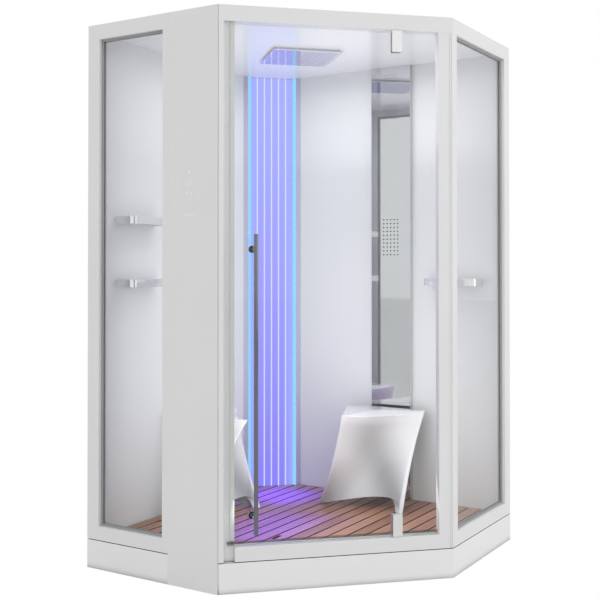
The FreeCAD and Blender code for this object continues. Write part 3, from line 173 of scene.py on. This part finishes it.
# Moulded polyamide: near black and matt.
black_plastic = coated("black_foot_plastic", "#262626", "#1f1f1f", 0.5, 2, 0.2)
dress(black_plastic, "levelling_feet")

# --------------------------------------------------------------------------
# Tray and waste: a thick white acrylic tray, vacuum formed, on the frame.
# A steel grate covers the waste, and a plastic trap hangs under it.
# --------------------------------------------------------------------------
# Formed acrylic: smooth, glossy white, with dark painted shade where the slats cover it.
tray_acrylic = coated("tray_white_acrylic", "#eaeaea", "#e6e6e6", 0.25, 3.33, 0.04, coat=0.4,
                      shade=("#1e1411", 0.05, 0.3, 0.66))
dress(tray_acrylic, "shower_tray")
# Brushed stainless steel: soft grey shine with fine upright lines.
satin_steel = metal("satin_steel", "#b9babd", 0.3, (1.43, 1.43, 33.3), 0.2)
dress(satin_steel, "drain_cover")
# Moulded polypropylene: plain mid grey with a fine dull skin.
grey_plastic = coated("grey_moulded_plastic", "#8c8c90", "#808084", 0.45, 2, 0.15)
dress(grey_plastic, "drain_trap")

# --------------------------------------------------------------------------
# Slatted floor: boards of oiled hardwood with open joints, fixed on dark
# battens that stand in the tray. It lifts out for cleaning.
# --------------------------------------------------------------------------
SLAT_PITCH = 0.0604
SLAT_PHASE = 0.2
BATTEN_PITCH = 0.5
GRAIN_WIDTH = 11.11
GRAIN_LENGTH = 200
GRAIN_DEPTH = 0.0006
GRAIN_STRENGTH = 0.25
BOARD_EDGE = 0.0015
BOARD_VARIETY = 0.45


def timber(name, light, dark, side, pitch, phase):
    """Boards along Y: grain, a tone of its own for every board, sides darkened with painted shade."""
    material, tree = new_material(name)
    place = node(tree, "ShaderNodeTexCoord")
    split = node(tree, "ShaderNodeSeparateXYZ", links={"Vector": (place, "Object")})
    board = node(tree, "ShaderNodeMath", {"operation": "MULTIPLY_ADD"},
                 {1: 1 / pitch, 2: phase}, {0: (split, "X")})
    whole = node(tree, "ShaderNodeMath", {"operation": "FLOOR"}, links={0: (board, 0)})
    chance = node(tree, "ShaderNodeTexWhiteNoise", {"noise_dimensions": "1D"},
                  links={"W": (whole, 0)})
    shift = node(tree, "ShaderNodeCombineXYZ",
                 links={"X": (split, "X"), "Y": (split, "Y"), "Z": (whole, 0)})
    stretched = node(tree, "ShaderNodeMapping",
                     inputs={"Scale": (per_metre(GRAIN_WIDTH), per_metre(GRAIN_LENGTH), 1)},
                     links={"Vector": (shift, "Vector")})
    grain = node(tree, "ShaderNodeTexNoise",
                 inputs={"Scale": 1.0, "Detail": 6.0, "Distortion": 0.6},
                 links={"Vector": (stretched, "Vector")})
    mixed = node(tree, "ShaderNodeMath", {"operation": "MULTIPLY_ADD"}, {1: BOARD_VARIETY},
                 {0: (chance, "Value"), 2: (grain, "Fac")})
    tone = node(tree, "ShaderNodeValToRGB", links={"Fac": (mixed, 0)})
    darkest, lightest = tone.color_ramp.elements
    darkest.position = 0.3
    darkest.color = linear(dark)
    lightest.position = 1.0
    lightest.color = linear(light)
    # Painted shade: faces that do not look up take the side colour, which keeps the joints dark.
    shape = node(tree, "ShaderNodeNewGeometry")
    facing = node(tree, "ShaderNodeSeparateXYZ", links={"Vector": (shape, "Normal")})
    top = node(tree, "ShaderNodeMath", {"operation": "SMOOTH_MIN"}, {1: 1.0, 2: 0.1},
               {0: (facing, "Z")})
    coat = node(tree, "ShaderNodeMix", {"data_type": "RGBA", "clamp_factor": True},
                {6: linear(side)}, {"Factor": (top, 0), 7: (tone, "Color")})
    relief = worked_normal(tree, grain, GRAIN_STRENGTH, GRAIN_DEPTH, BOARD_EDGE)
    shader = node(tree, "ShaderNodeBsdfPrincipled", inputs={"Roughness": 0.42},
                  links={"Base Color": (coat, 2), "Normal": (relief, "Normal")})
    finish_material(tree, shader)
    return material


# Oiled hardwood: warm reddish brown, half matt, each board a little different; the board sides carry
# a nearly black painted shade.
oiled_slats = timber("oiled_hardwood_slats", "#ae7d66", "#7e4f38", "#0e0705", SLAT_PITCH, SLAT_PHASE)
dress(oiled_slats, "duckboard_slats")
# The same wood, nearly black brown: painted shadow where it lies under and between the boards.
painted_shadow_battens = timber("painted_shadow_battens", "#4a3328", "#2c1c14", "#1c110c", BATTEN_PITCH, 0.0)
dress(painted_shadow_battens, "duckboard_battens")

# --------------------------------------------------------------------------
# Cabin frame and service panel: aluminium posts and rails, mitred, screwed
# together and powder coated, with a tall sheet panel beside the door.
# --------------------------------------------------------------------------
# Baked powder: bright, even white, half matt. Its orange peel is drawn 1.4 mm wide.
powder_white = coated("powder_coated_white", "#e2e2e2", "#dddddd", 0.34, 1.43, 0.10)
dress(powder_white, "post_left_rear", "post_mullion", "post_door_strike", "post_door_pivot",
      "post_right_rear", "header_left", "header_front", "header_right", "bottom_rail_left",
      "door_sill", "bottom_rail_right", "service_panel", "touch_control")

# --------------------------------------------------------------------------
# Service space behind the panel: a welded steel steam generator, its pipe to
# a chromed outlet in the liner, and the moulded control box of the touch strip.
# --------------------------------------------------------------------------
dress(satin_steel, "steam_generator", "steam_pipe")
dress(grey_plastic, "control_box")
# Chrome plate on brass: clean bright mirror with fine marks of polishing.
chrome = metal("polished_chrome", "#eeeef0", 0.06, (5, 5, 25), 0.04)
dress(chrome, "steam_outlet")

# --------------------------------------------------------------------------
# Walls and roof: white acrylic-faced sheets, fixed to the posts and rails,
# and a liner of the same sheet that closes the service space.
# --------------------------------------------------------------------------
# Acrylic-faced sheet: glossy white with a faint cool cast.
wall_gloss = coated("glossy_wall_sheet", "#dededf", "#dadadc", 0.22, 6.25, 0.05, coat=0.3)
dress(wall_gloss, "wall_panel_left", "wall_panel_right", "cabinet_liner")
# The same sheet in a whiter tone: painted light that keeps the ceiling bright.
roof_gloss = coated("glossy_roof_sheet", "#f1f1f1", "#eeeeee", 0.18, 6.25, 0.03, coat=0.3)
dress(roof_gloss, "roof_panel")

# --------------------------------------------------------------------------
# Corner light panel: a metal frame across the rear corner holds a fluted
# acrylic field between two frosted bars with lamps behind them. The lamp
# driver, the brass valve block with its inlets and the feed pipes are behind it.
# --------------------------------------------------------------------------
LAMP_PITCH = 0.0349
BANDS_PER_METRE = 20 / math.tau
FIN_PITCH = 0.036
FIN_HALF_SHARE = 0.03
FIN_FADE_SHARE = 0.08
BLUE_FROM = 0.06
FIELD_HALF_WIDTH = 0.107
FIELD_FOOT = 0.12
FIELD_TOP = 2.1

# Powder coat on the frame: half matt grey, with the violet of the panel's light painted in.
panel_grey = coated("grey_panel_frame_painted_violet_light", "#b4b4cc", "#aeaec8", 0.34, 1.43, 0.10)
dress(panel_grey, "light_panel_frame")


def light_bar_material():
    """Frosted acrylic, lit from behind: bright cyan, a trace brighter beside every lamp.

    The texture draws BANDS_PER_METRE at scale 1.
    """
    material, tree = new_material("cyan_light_bar")
    place = node(tree, "ShaderNodeTexCoord")
    lamps = node(tree, "ShaderNodeTexWave", {"wave_type": "BANDS", "bands_direction": "Z"},
                 {"Scale": 1 / (LAMP_PITCH * BANDS_PER_METRE), "Distortion": 0.0},
                 {"Vector": (place, "Object")})
    glow = node(tree, "ShaderNodeMix", {"data_type": "RGBA"},
                {6: linear("#8ccfff"), 7: linear("#91d3ff")}, {"Factor": (lamps, "Fac")})
    shader = node(tree, "ShaderNodeBsdfPrincipled",
                  inputs={"Base Color": linear("#203040"), "Roughness": 0.35,
                          "Emission Strength": 1.0},
                  links={"Emission Color": (glow, 2)})
    finish_material(tree, shader)
    return material


def light_field_material():
    """Fluted acrylic, lit from its edges: violet, with pale fins, bluer beside the bars."""
    material, tree = new_material("violet_light_field")
    place = node(tree, "ShaderNodeTexCoord")
    split = node(tree, "ShaderNodeSeparateXYZ", links={"Vector": (place, "Object")})
    total = node(tree, "ShaderNodeMath", {"operation": "ADD"},
                 links={0: (split, "X"), 1: (split, "Y")})
    across = node(tree, "ShaderNodeMath", {"operation": "MULTIPLY"}, {1: math.sqrt(0.5)},
                  {0: (total, 0)})
    off_middle = node(tree, "ShaderNodeMath", {"operation": "ABSOLUTE"}, links={0: (across, 0)})
    nearness = node(tree, "ShaderNodeMapRange",
                    inputs={"From Min": BLUE_FROM, "From Max": FIELD_HALF_WIDTH},
                    links={"Value": (off_middle, 0)})
    height = node(tree, "ShaderNodeMapRange",
                  inputs={"From Min": FIELD_FOOT, "From Max": FIELD_TOP},
                  links={"Value": (split, "Z")})
    upward = node(tree, "ShaderNodeMix", {"data_type": "RGBA"},
                  {6: linear("#8478f0"), 7: linear("#a2a6f6")}, {"Factor": (height, "Result")})
    sideways = node(tree, "ShaderNodeMix", {"data_type": "RGBA"},
                    {7: linear("#97a8fa")}, {"Factor": (nearness, "Result"), 6: (upward, 2)})
    pitches = node(tree, "ShaderNodeMath", {"operation": "MULTIPLY_ADD"},
                   {1: 1 / FIN_PITCH, 2: 0.5}, {0: (across, 0)})
    part = node(tree, "ShaderNodeMath", {"operation": "FRACT"}, links={0: (pitches, 0)})
    from_fin = node(tree, "ShaderNodeMath", {"operation": "SUBTRACT"}, {1: 0.5}, {0: (part, 0)})
    distance = node(tree, "ShaderNodeMath", {"operation": "ABSOLUTE"}, links={0: (from_fin, 0)})
    fin = node(tree, "ShaderNodeMapRange",
               inputs={"From Min": FIN_HALF_SHARE, "From Max": FIN_FADE_SHARE,
                       "To Min": 1.0, "To Max": 0.0},
               links={"Value": (distance, 0)})
    glow = node(tree, "ShaderNodeMix", {"data_type": "RGBA"},
                {7: linear("#cfdcff")}, {"Factor": (fin, "Result"), 6: (sideways, 2)})
    shader = node(tree, "ShaderNodeBsdfPrincipled",
                  inputs={"Base Color": linear("#30304a"), "Roughness": 0.3,
                          "Emission Strength": 1.0},
                  links={"Emission Color": (glow, 2)})
    finish_material(tree, shader)
    return material


dress(light_bar_material(), "light_bars")
dress(light_field_material(), "light_diffuser")
dress(grey_plastic, "light_driver", "rain_feed_pipe", "column_feed_pipe")
# Turned brass: warm yellow metal with fine marks of the tool.
brass = metal("machined_brass", "#c9a55a", 0.3, (1.43, 16.7, 1.43), 0.2)
dress(brass, "water_valve_block", "water_inlets")

# --------------------------------------------------------------------------
# Rain head: a white water box in the ceiling, closed by a polished square
# plate that stands cornerwise. Soft nubs in herringbone rows let the water out.
# --------------------------------------------------------------------------
NUB_PITCH = 0.016
NUB_RADIUS = 0.0032
NUB_TIP_SHARE = 0.7
NUB_HEIGHT = 0.0014
NUB_FACETS = 10
NUB_COLUMNS = range(-9, 10)
NUB_ROWS = range(-14, 13)
NUBS_REACH = 0.144
HERRINGBONE_COLUMNS = 6
HERRINGBONE_SLOPE = 0.9
PLATE_TURN = math.sqrt(0.5)


def new_piece(name, made, material):
    """An object of this mesh and material."""
    data = bpy.data.meshes.new(name)
    made.to_mesh(data)
    made.free()
    piece = bpy.data.objects.new(name, data)
    bpy.context.scene.collection.objects.link(piece)
    piece.data.materials.append(material)
    return piece


dress(roof_gloss, "rain_head_body")
# Mirror-polished steel: a bright mirror, with the violet of the panel's light painted in as a violet
# cast.
# Its waves are 170 mm wide, as in thin sheet.
violet_mirror = metal("mirror_plate_painted_violet_light", "#efecff", 0.05, (167, 167, 500), 0.02)
dress(violet_mirror, "rain_head_plate")
# Moulded silicone: soft, dull, pale grey, with a violet cast of the panel's light painted in.
nub_silicone = coated("grey_nozzle_silicone_painted_violet_light", "#b4b4d2", "#aaaaca", 0.5, 1.11, 0.1)

plate_low, plate_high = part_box("rain_head_plate")
plate_middle = (plate_low + plate_high) / 2
made = bmesh.new()
for column in NUB_COLUMNS:
    zigzag = abs(column % HERRINGBONE_COLUMNS - HERRINGBONE_COLUMNS / 2) * HERRINGBONE_SLOPE
    for row in NUB_ROWS:
        along = column * NUB_PITCH
        up = (row + zigzag) * NUB_PITCH
        if max(abs(along), abs(up)) > NUBS_REACH:
            continue
        nub = bmesh.ops.create_cone(
            made, cap_ends=True, segments=NUB_FACETS, radius1=NUB_RADIUS * NUB_TIP_SHARE,
            radius2=NUB_RADIUS, depth=NUB_HEIGHT)
        spot = (plate_middle.x + (along - up) * PLATE_TURN,
                plate_middle.y + (along + up) * PLATE_TURN,
                plate_low.z - NUB_HEIGHT / 2)
        bmesh.ops.translate(made, verts=nub["verts"], vec=spot)
rain_nozzles = new_piece("rain_nozzles", made, nub_silicone)
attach(rain_nozzles, "cabin")

# --------------------------------------------------------------------------
# Shower column: a tall folded sheet of polished steel, hung on the right
# wall, with rubber nozzles pressed through it from a moulded water way behind.
# --------------------------------------------------------------------------
# Mirror-polished stainless steel: shows the cabin, waved a little as sheet is.
mirror_steel = metal("mirror_polished_steel", "#d4d5d7", 0.03, (167, 167, 500), 0.02)
dress(mirror_steel, "shower_column")
# Moulded rubber: black, dull points on the mirror.
nozzle_rubber = coated("dark_nozzle_rubber", "#101114", "#0c0d10", 0.5, 1.11, 0.1)
dress(nozzle_rubber, "body_jets", "spray_nozzles")
dress(grey_plastic, "column_manifold")

# --------------------------------------------------------------------------
# Shelves: plates of pale acrylic, two on the left wall and one on the right.
# A bent and chromed band holds each plate by its rim.
# --------------------------------------------------------------------------
# Cast acrylic: smooth pale grey with a soft gloss.
shelf_acrylic = coated("pale_shelf_acrylic", "#dfe0e2", "#dadbdd", 0.2, 3.33, 0.05, coat=0.3)
dress(shelf_acrylic, "shelf_plates")
dress(chrome, "shelf_bands")

# --------------------------------------------------------------------------
# Side glass: clear toughened panes in the posts and rails, each held by a
# pressed-in rubber gasket.
# --------------------------------------------------------------------------
GRAZING_POWER = 5.0


def thin_glass(name, tint, straight_on):
    """A clear pane: mirrors more towards grazing view, lets the rest pass straight on."""
    material, tree = new_material(name)
    clear = node(tree, "ShaderNodeBsdfTransparent", inputs={"Color": linear(tint)})
    shine = node(tree, "ShaderNodeBsdfGlossy", inputs={"Roughness": 0.01})
    facing = node(tree, "ShaderNodeLayerWeight", inputs={"Blend": 0.5})
    grazing = node(tree, "ShaderNodeMath", {"operation": "POWER"}, {1: GRAZING_POWER},
                   {0: (facing, "Facing")})
    share = node(tree, "ShaderNodeMath", {"operation": "MULTIPLY_ADD"},
                 {1: 1 - straight_on, 2: straight_on}, {0: (grazing, "Value")})
    both = node(tree, "ShaderNodeMixShader", links={"Fac": (share, "Value")})
    tree.links.new(clear.outputs["BSDF"], both.inputs[1])
    tree.links.new(shine.outputs["BSDF"], both.inputs[2])
    finish_material(tree, both, "Shader")
    return material


# Toughened float glass: almost no colour, seen by its reflections.
pane_glass = thin_glass("clear_pane_glass", "#fdfefe", 0.03)
dress(pane_glass, "side_glass_left", "side_glass_right")
# Extruded rubber: dull mid grey line around the pane.
grey_rubber = coated("grey_gasket_rubber", "#a2a2a2", "#989898", 0.6, 1.11, 0.2)
dress(grey_rubber, "glazing_gasket_left", "glazing_gasket_right")

# --------------------------------------------------------------------------
# Door: one frameless pane between two clamps that turn on steel pins in
# nylon bushes. A long tube handle is bolted through it, and seals line its edges.
# --------------------------------------------------------------------------
dress(pane_glass, "door_glass")
# Satin chrome on cast zinc: pale, softly shining blocks.
satin_chrome = metal("satin_clamp_chrome", "#e6e6e6", 0.32, (1.11, 1.11, 16.7), 0.1)
dress(satin_chrome, "pivot_clamp_top", "pivot_clamp_bottom")
dress(chrome, "clamp_screws")
dress(satin_steel, "pivot_pins")
# Turned nylon: waxy off-white.
nylon = coated("white_nylon", "#dcdcd6", "#d4d4ce", 0.4, 2, 0.1)
dress(nylon, "pivot_bushes")
# Black chrome on tube: a dark mirror with bright lines along it.
dark_chrome = metal("dark_polished_chrome", "#77797d", 0.08, (5, 5, 25), 0.04)
dress(dark_chrome, "door_handle", "handle_standoffs")
# Extruded vinyl: pale and dull on the closing side, clear along the foot.
pale_seal = coated("pale_strip_seal", "#d9d8d4", "#d3d2ce", 0.5, 1.11, 0.1)
dress(pale_seal, "door_strike_seal")
clear_vinyl = thin_glass("clear_vinyl_seal", "#e4e4e2", 0.05)
dress(clear_vinyl, "door_bottom_seal")

# --------------------------------------------------------------------------
# Touch strip marks: white print on the strip of the service panel, with a dot,
# a ring, two smaller dots, a small ring and a short bar. No letters.
# --------------------------------------------------------------------------
PRINT_RISE = 0.0002
DISC_STEPS = 40
# Sideways place, height, outer radius and inner radius of each round mark
ROUND_MARKS = (
    (0.0, 1.564, 0.0035, 0.0),
    (0.0, 1.522, 0.0105, 0.0088),
    (-0.010, 1.485, 0.0028, 0.0),
    (0.010, 1.485, 0.0028, 0.0),
    (0.0, 1.436, 0.0030, 0.0018),
)
BAR_HEIGHT = 1.402
BAR_HALF_LENGTH = 0.021
BAR_HALF_WIDTH = 0.001
strip_low, strip_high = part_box("touch_control")
strip_x = (strip_low.x + strip_high.x) / 2
strip_y = strip_low.y - PRINT_RISE


def printed_disc(made, x, z, outer, inner):
    """A disc or ring of print on the front of the strip."""
    angles = [math.tau * k / DISC_STEPS for k in range(DISC_STEPS)]
    far, near = [
        [made.verts.new((x + radius * math.cos(angle), strip_y, z + radius * math.sin(angle)))
         for angle in angles if radius > 0]
        for radius in (outer, inner)]
    if not near:
        made.faces.new(far)
        return
    for k in range(DISC_STEPS):
        after = (k + 1) % DISC_STEPS
        made.faces.new((far[k], far[after], near[after], near[k]))


# Screen print: flat, even white, brighter than the powder coat.
touch_print = coated("white_touch_print", "#fbfbfb", "#f6f6f6", 0.4, 1.11, 0.05)
made = bmesh.new()
for sideways, z, outer, inner in ROUND_MARKS:
    printed_disc(made, strip_x + sideways, z, outer, inner)
bar = [made.verts.new((strip_x + across * BAR_HALF_LENGTH, strip_y, BAR_HEIGHT + up * BAR_HALF_WIDTH))
       for across, up in ((-1, -1), (1, -1), (1, 1), (-1, 1))]
made.faces.new(bar)
touch_marks = new_piece("touch_marks", made, touch_print)
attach(touch_marks, "cabin")

# --------------------------------------------------------------------------
# Stools: glossy white moulded shells on three feet. The seat is a triangle
# turned against the base, so every side twists and caves in between sharp
# corners; each side ends in an arch below and the front one dips at the seat.
# --------------------------------------------------------------------------
SEAT_CORNERS = [Vector((-0.030, -0.246)), Vector((0.224, 0.106)), Vector((-0.204, 0.127))]
BASE_CORNERS = [Vector((-0.222, -0.130)), Vector((0.200, -0.098)), Vector((-0.007, 0.146))]
STOOL_HEIGHT = 0.430
SKIN = 0.014
HOLLOW_TOP = 0.92
WAIST = 0.06
STOOL_BOW = 0.006
STOOL_CAVES = (0.052, 0.014, 0.014)
CORNER_SHARE = 0.05
CORNER_STEPS = 6
SIDE_STEPS = 40
WALL_ROWS = 44
HOLLOW_ROWS = 16
SEAT_RINGS = 12
ARCH_RISE = 0.057
ARCH_START = 0.02
ARCH_CROWN = 0.78
ARCH_END = 0.955
ARCH_POWER = 1.6
SEAT_DIP = 0.018
DIP_RADIUS = 1.0
SEAT_POWER = 1.3
RIM_WIDTH = 0.004
RIM_ANGLE = 52
# The painted shade in the hollows, all as shares: where its valley starts under the seat, how
# far it runs to the later foot, its width, and its strength at each place
RIM_FADE = 0.12
VALLEY_START = 0.36
VALLEY_RUN = 0.50
VALLEY_POWER = 1.3
VALLEY_WIDTH = 0.26
VALLEY_SHADE = 0.30
FOOT_SHADE = 0.44
FRONT_SHADE = 0.10
SIDE_SHADE = 0.25


def bulge(share):
    """Rises from 0 at both ends to 1 in the middle."""
    return 4 * share * (1 - share)


def inset_triangle(corners, inset):
    """The triangle with every side moved inward."""
    moved = []
    for k in range(3):
        back = (corners[k - 1] - corners[k]).normalized()
        ahead = (corners[(k + 1) % 3] - corners[k]).normalized()
        half_turn = back.angle(ahead) / 2
        moved.append(corners[k] + (back + ahead).normalized() * (inset / math.sin(half_turn)))
    return moved


def stool_ring(level, inset):
    """Plan of the stool at a share of its height: small round corners, hollow sides.

    Every entry holds the side it belongs to, the share along it and the place.
    """
    pull = 1 - WAIST * bulge(level)
    corners = inset_triangle(
        [(low + (top - low) * level) * pull for low, top in zip(BASE_CORNERS, SEAT_CORNERS)], inset)
    ring = []
    for k in range(3):
        before, corner, after = corners[k - 1], corners[k], corners[(k + 1) % 3]
        enter = corner + (before - corner) * CORNER_SHARE
        leave = corner + (after - corner) * CORNER_SHARE
        end = after + (corner - after) * CORNER_SHARE
        for step in range(CORNER_STEPS):
            u = step / CORNER_STEPS
            place = enter * (1 - u) ** 2 + corner * 2 * u * (1 - u) + leave * u * u
            ring.append((k, 0.0, place))
        inward = Vector((-(after - corner).y, (after - corner).x)).normalized()
        bow = STOOL_BOW + STOOL_CAVES[k] * bulge(level)
        for step in range(SIDE_STEPS):
            u = step / SIDE_STEPS
            hollow = (bulge(u) + math.sin(math.pi * u) ** 2) / 2
            place = leave + (end - leave) * u + inward * bow * hollow
            ring.append((k, CORNER_SHARE + (1 - 2 * CORNER_SHARE) * u, place))
    return ring


def arch_height(share):
    """Rise of the arch between two feet, steep on the side of the later foot."""
    if share < ARCH_START:
        return 0.0
    if share < ARCH_CROWN:
        fall = ((ARCH_CROWN - share) / (ARCH_CROWN - ARCH_START)) ** ARCH_POWER
        return ARCH_RISE * (1 - fall)
    return ARCH_RISE * math.sqrt(1 - ((share - ARCH_CROWN) / (ARCH_END - ARCH_CROWN)) ** 2)


def rim_height(side, share, place):
    """Height of the seat edge: level, but for the front side, which dips in its middle."""
    if side != 0 or share == 0:
        return STOOL_HEIGHT
    middle = (SEAT_CORNERS[0] + SEAT_CORNERS[1]) / 2
    along = (SEAT_CORNERS[1] - SEAT_CORNERS[0]).normalized()
    off = (place - middle).dot(along)
    return min(STOOL_HEIGHT, STOOL_HEIGHT - SEAT_DIP + off * off / (2 * DIP_RADIUS))


def painted_shade_share(side, share, rise):
    """Share of painted shade: a valley of shade down the front to the later foot, less on the other
    sides.
    """
    fade = min(1.0, (1 - rise) / RIM_FADE)
    if side != 0:
        return SIDE_SHADE * bulge(share) * fade
    valley = VALLEY_START + VALLEY_RUN * (1 - rise) ** VALLEY_POWER
    near = math.exp(-((share - valley) / VALLEY_WIDTH) ** 2)
    return (FRONT_SHADE + near * (VALLEY_SHADE + FOOT_SHADE * (1 - rise))) * fade


def stool_shell():
    """The mesh of one stool: outer wall, seat, inner wall and the roof of the hollow.

    The points of the outer wall come first, row by row from the feet up.
    """
    made = bmesh.new()
    top_ring = stool_ring(1.0, 0.0)
    columns = range(len(top_ring))
    heights = [rim_height(side, share, place) for side, share, place in top_ring]
    feet = [arch_height(share) for side, share, place in top_ring]
    rings = {}

    def wall_point(column, part, inset, top):
        z = feet[column] + (top - feet[column]) * part
        level = round(z / STOOL_HEIGHT, 4)
        if (level, inset) not in rings:
            rings[level, inset] = stool_ring(z / STOOL_HEIGHT, inset)
        place = rings[level, inset][column][2]
        return (place.x, place.y, z)

    def band(first, second):
        for column in columns:
            after = (column + 1) % len(top_ring)
            made.faces.new((first[column], first[after], second[after], second[column]))

    outer = [[made.verts.new(wall_point(column, row / WALL_ROWS, 0.0, heights[column]))
              for column in columns] for row in range(WALL_ROWS + 1)]
    for lower, upper in zip(outer, outer[1:]):
        band(lower, upper)

    seat = outer[-1]
    for step in range(1, SEAT_RINGS + 1):
        share = 1 - step / (SEAT_RINGS + 1)
        sag = share ** SEAT_POWER
        following = [
            made.verts.new((entry[2].x * share, entry[2].y * share,
                            STOOL_HEIGHT - (STOOL_HEIGHT - height) * sag))
            for entry, height in zip(top_ring, heights)]
        band(seat, following)
        seat = following
    middle = made.verts.new((0, 0, STOOL_HEIGHT))
    for column in columns:
        made.faces.new((seat[column], seat[(column + 1) % len(top_ring)], middle))

    roof = STOOL_HEIGHT * HOLLOW_TOP
    inner = [[made.verts.new(wall_point(column, row / HOLLOW_ROWS, SKIN, roof))
              for column in columns] for row in range(HOLLOW_ROWS + 1)]
    for lower, upper in zip(inner, inner[1:]):
        band(upper, lower)
    made.faces.new(inner[-1][::-1])
    band(inner[0], outer[0])
    bmesh.ops.recalc_face_normals(made, faces=made.faces)
    return made


def paint_hollow_shade(data):
    """Writes the painted shade of every point of the outer wall into the mesh."""
    top_ring = stool_ring(1.0, 0.0)
    shade_shares = data.attributes.new("painted_hollow_shade", "FLOAT", "POINT")
    for index in range(len(top_ring) * (WALL_ROWS + 1)):
        row, column = divmod(index, len(top_ring))
        side, share, place = top_ring[column]
        shade_shares.data[index].value = painted_shade_share(side, share, row / WALL_ROWS)


def round_rims(stool):
    """Smooth sides, and soft rims of the mould where they meet."""
    rim = stool.modifiers.new("rounded_rim", "BEVEL")
    rim.width = RIM_WIDTH
    rim.segments = 3
    rim.limit_method = "ANGLE"
    rim.angle_limit = math.radians(RIM_ANGLE)
    rim.harden_normals = True
    for face in stool.data.polygons:
        face.use_smooth = True


def stand_in_place(stool, node_name, turn):
    """Turns a stool about the vertical and centres it on its CAD piece."""
    stool.rotation_euler = (0, 0, math.radians(turn))
    bpy.context.view_layer.update()
    points = [stool.matrix_world @ vertex.co for vertex in stool.data.vertices]
    low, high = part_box(node_name)
    for axis in (0, 1):
        middle = (min(p[axis] for p in points) + max(p[axis] for p in points)) / 2
        stool.location[axis] = (low[axis] + high[axis]) / 2 - middle
    stool.location[2] = low[2]


# Moulded fibreglass with a gel coat: bright white, high gloss, with grey painted shade in its hollows
# and down the front.
stool_gloss = coated("stool_gloss_white", "#ececee", "#e8e8ea", 0.12, 16.7, 0.03, coat=0.6,
                     shade=("#747476", 0.26, 0.38, 0.90), hollow="painted_hollow_shade")
for stool_node, body, turn in (("stool_right", "right_stool", 0), ("stool_left", "left_stool", 78)):
    stool = new_piece(stool_node + "_shell", stool_shell(), stool_gloss)
    paint_hollow_shade(stool.data)
    round_rims(stool)
    stand_in_place(stool, stool_node, turn)
    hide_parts(stool_node)
    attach(stool, body)

# --------------------------------------------------------------------------
# Studio: a plain white floor and sky, one soft light from the right, small
# lights in the cabin and under the light panel, and the camera of the photo.
# --------------------------------------------------------------------------
WHITE = (1, 1, 1, 1)
SKY_STRENGTH = 0.94
FLOOR_SIZE = 60
FLOOR_DROP = 0.001
PALE_VIOLET = (0.36, 0.28, 1.0)
DEEP_VIOLET = (0.03, 0.0, 1.0)
VIOLET_SPREAD = 75

scene = bpy.context.scene
scene.view_settings.view_transform = "Standard"


def by_camera(tree, elsewhere, output, seen):
    """One shader for what the camera sees, another for all other light."""
    path = node(tree, "ShaderNodeLightPath")
    mix = node(tree, "ShaderNodeMixShader", links={"Fac": (path, "Is Camera Ray")})
    tree.links.new(elsewhere.outputs[output], mix.inputs[1])
    tree.links.new(seen.outputs[0], mix.inputs[2])
    return mix


# Painted studio floor: the camera sees plain white, the cabin a matt pale grey.
bpy.ops.mesh.primitive_plane_add(size=FLOOR_SIZE, location=(0, 0, -FLOOR_DROP))
floor = bpy.context.object
floor.name = "studio_floor"
floor_material, tree = new_material("studio_floor_white")
matt = node(tree, "ShaderNodeBsdfDiffuse", inputs={"Color": linear("#e6e6e6")})
plain = node(tree, "ShaderNodeEmission", inputs={"Color": WHITE, "Strength": 1.0})
finish_material(tree, by_camera(tree, matt, "BSDF", plain), "Shader")
floor.data.materials.append(floor_material)

world = bpy.data.worlds.new("studio_white")
scene.world = world
world.use_nodes = True
tree = world.node_tree
tree.nodes.clear()
fill = node(tree, "ShaderNodeBackground", inputs={"Color": WHITE, "Strength": SKY_STRENGTH})
shown = node(tree, "ShaderNodeBackground", inputs={"Color": WHITE, "Strength": 1.0})
pick = by_camera(tree, fill, "Background", shown)
node(tree, "ShaderNodeOutputWorld", links={"Surface": (pick, "Shader")})


def soft_light(name, place, aim, width, height, power):
    """A rectangle of light at a place, turned towards its aim."""
    data = bpy.data.lights.new(name, "AREA")
    data.shape = "RECTANGLE"
    data.size = width
    data.size_y = height
    data.energy = power
    lamp = bpy.data.objects.new(name, data)
    lamp.location = place
    lamp.rotation_euler = (Vector(aim) - Vector(place)).to_track_quat("-Z", "Y").to_euler()
    scene.collection.objects.link(lamp)
    return lamp


soft_light("right_softbox", (6.0, 0.5, 2.5), (0, 0, 1.1), 4, 4, 52)
white_lights = [
    soft_light("cabin_front", (0.24, -0.24, 0.75), (-0.6, 0.6, 0.45), 0.8, 1.0, 4.8),
    soft_light("cabin_down", (0.05, 0.0, 2.10), (0.05, 0.0, 0.0), 0.9, 0.9, 3.8),
    soft_light("cabin_up", (0.1, 0.0, 1.65), (0.1, 0.0, 3.0), 0.9, 0.9, 2.2),
]
panel_glow = soft_light("panel_glow", (-0.47, 0.47, 1.1), (0.2, -0.2, 1.1), 0.25, 1.8, 0.8)
panel_glow.data.color = PALE_VIOLET
floor_glows = [
    soft_light("violet_rear_floor", (-0.36, 0.36, 0.34), (-0.36, 0.36, 0.12), 0.30, 0.30, 3.2),
    soft_light("violet_front_floor", (-0.10, -0.14, 0.4), (-0.10, -0.14, 0.12), 0.25, 0.5, 3.4),
]
for lamp in floor_glows:
    lamp.data.color = DEEP_VIOLET
    lamp.data.spread = math.radians(VIOLET_SPREAD)
for lamp in white_lights + [panel_glow] + floor_glows:
    lamp.visible_camera = False
    lamp.visible_glossy = False
    lamp.visible_transmission = False

# Solved from the straight edges of the cabin in the photo
CAMERA_PLACE = (2.1563, -3.6174, 1.2057)
CAMERA_RISE = 0.0129
CAMERA_TURN = 0.5634
camera_data = bpy.data.cameras.new("photo_camera")
camera_data.lens = 59.56
camera_data.sensor_width = 36
camera_data.shift_x = 0.0281
camera_data.shift_y = -0.0763
camera = bpy.data.objects.new("photo_camera", camera_data)
camera.location = CAMERA_PLACE
camera.rotation_euler = Euler((math.pi / 2 + CAMERA_RISE, 0.0, CAMERA_TURN), "XYZ")
scene.collection.objects.link(camera)
scene.camera = camera
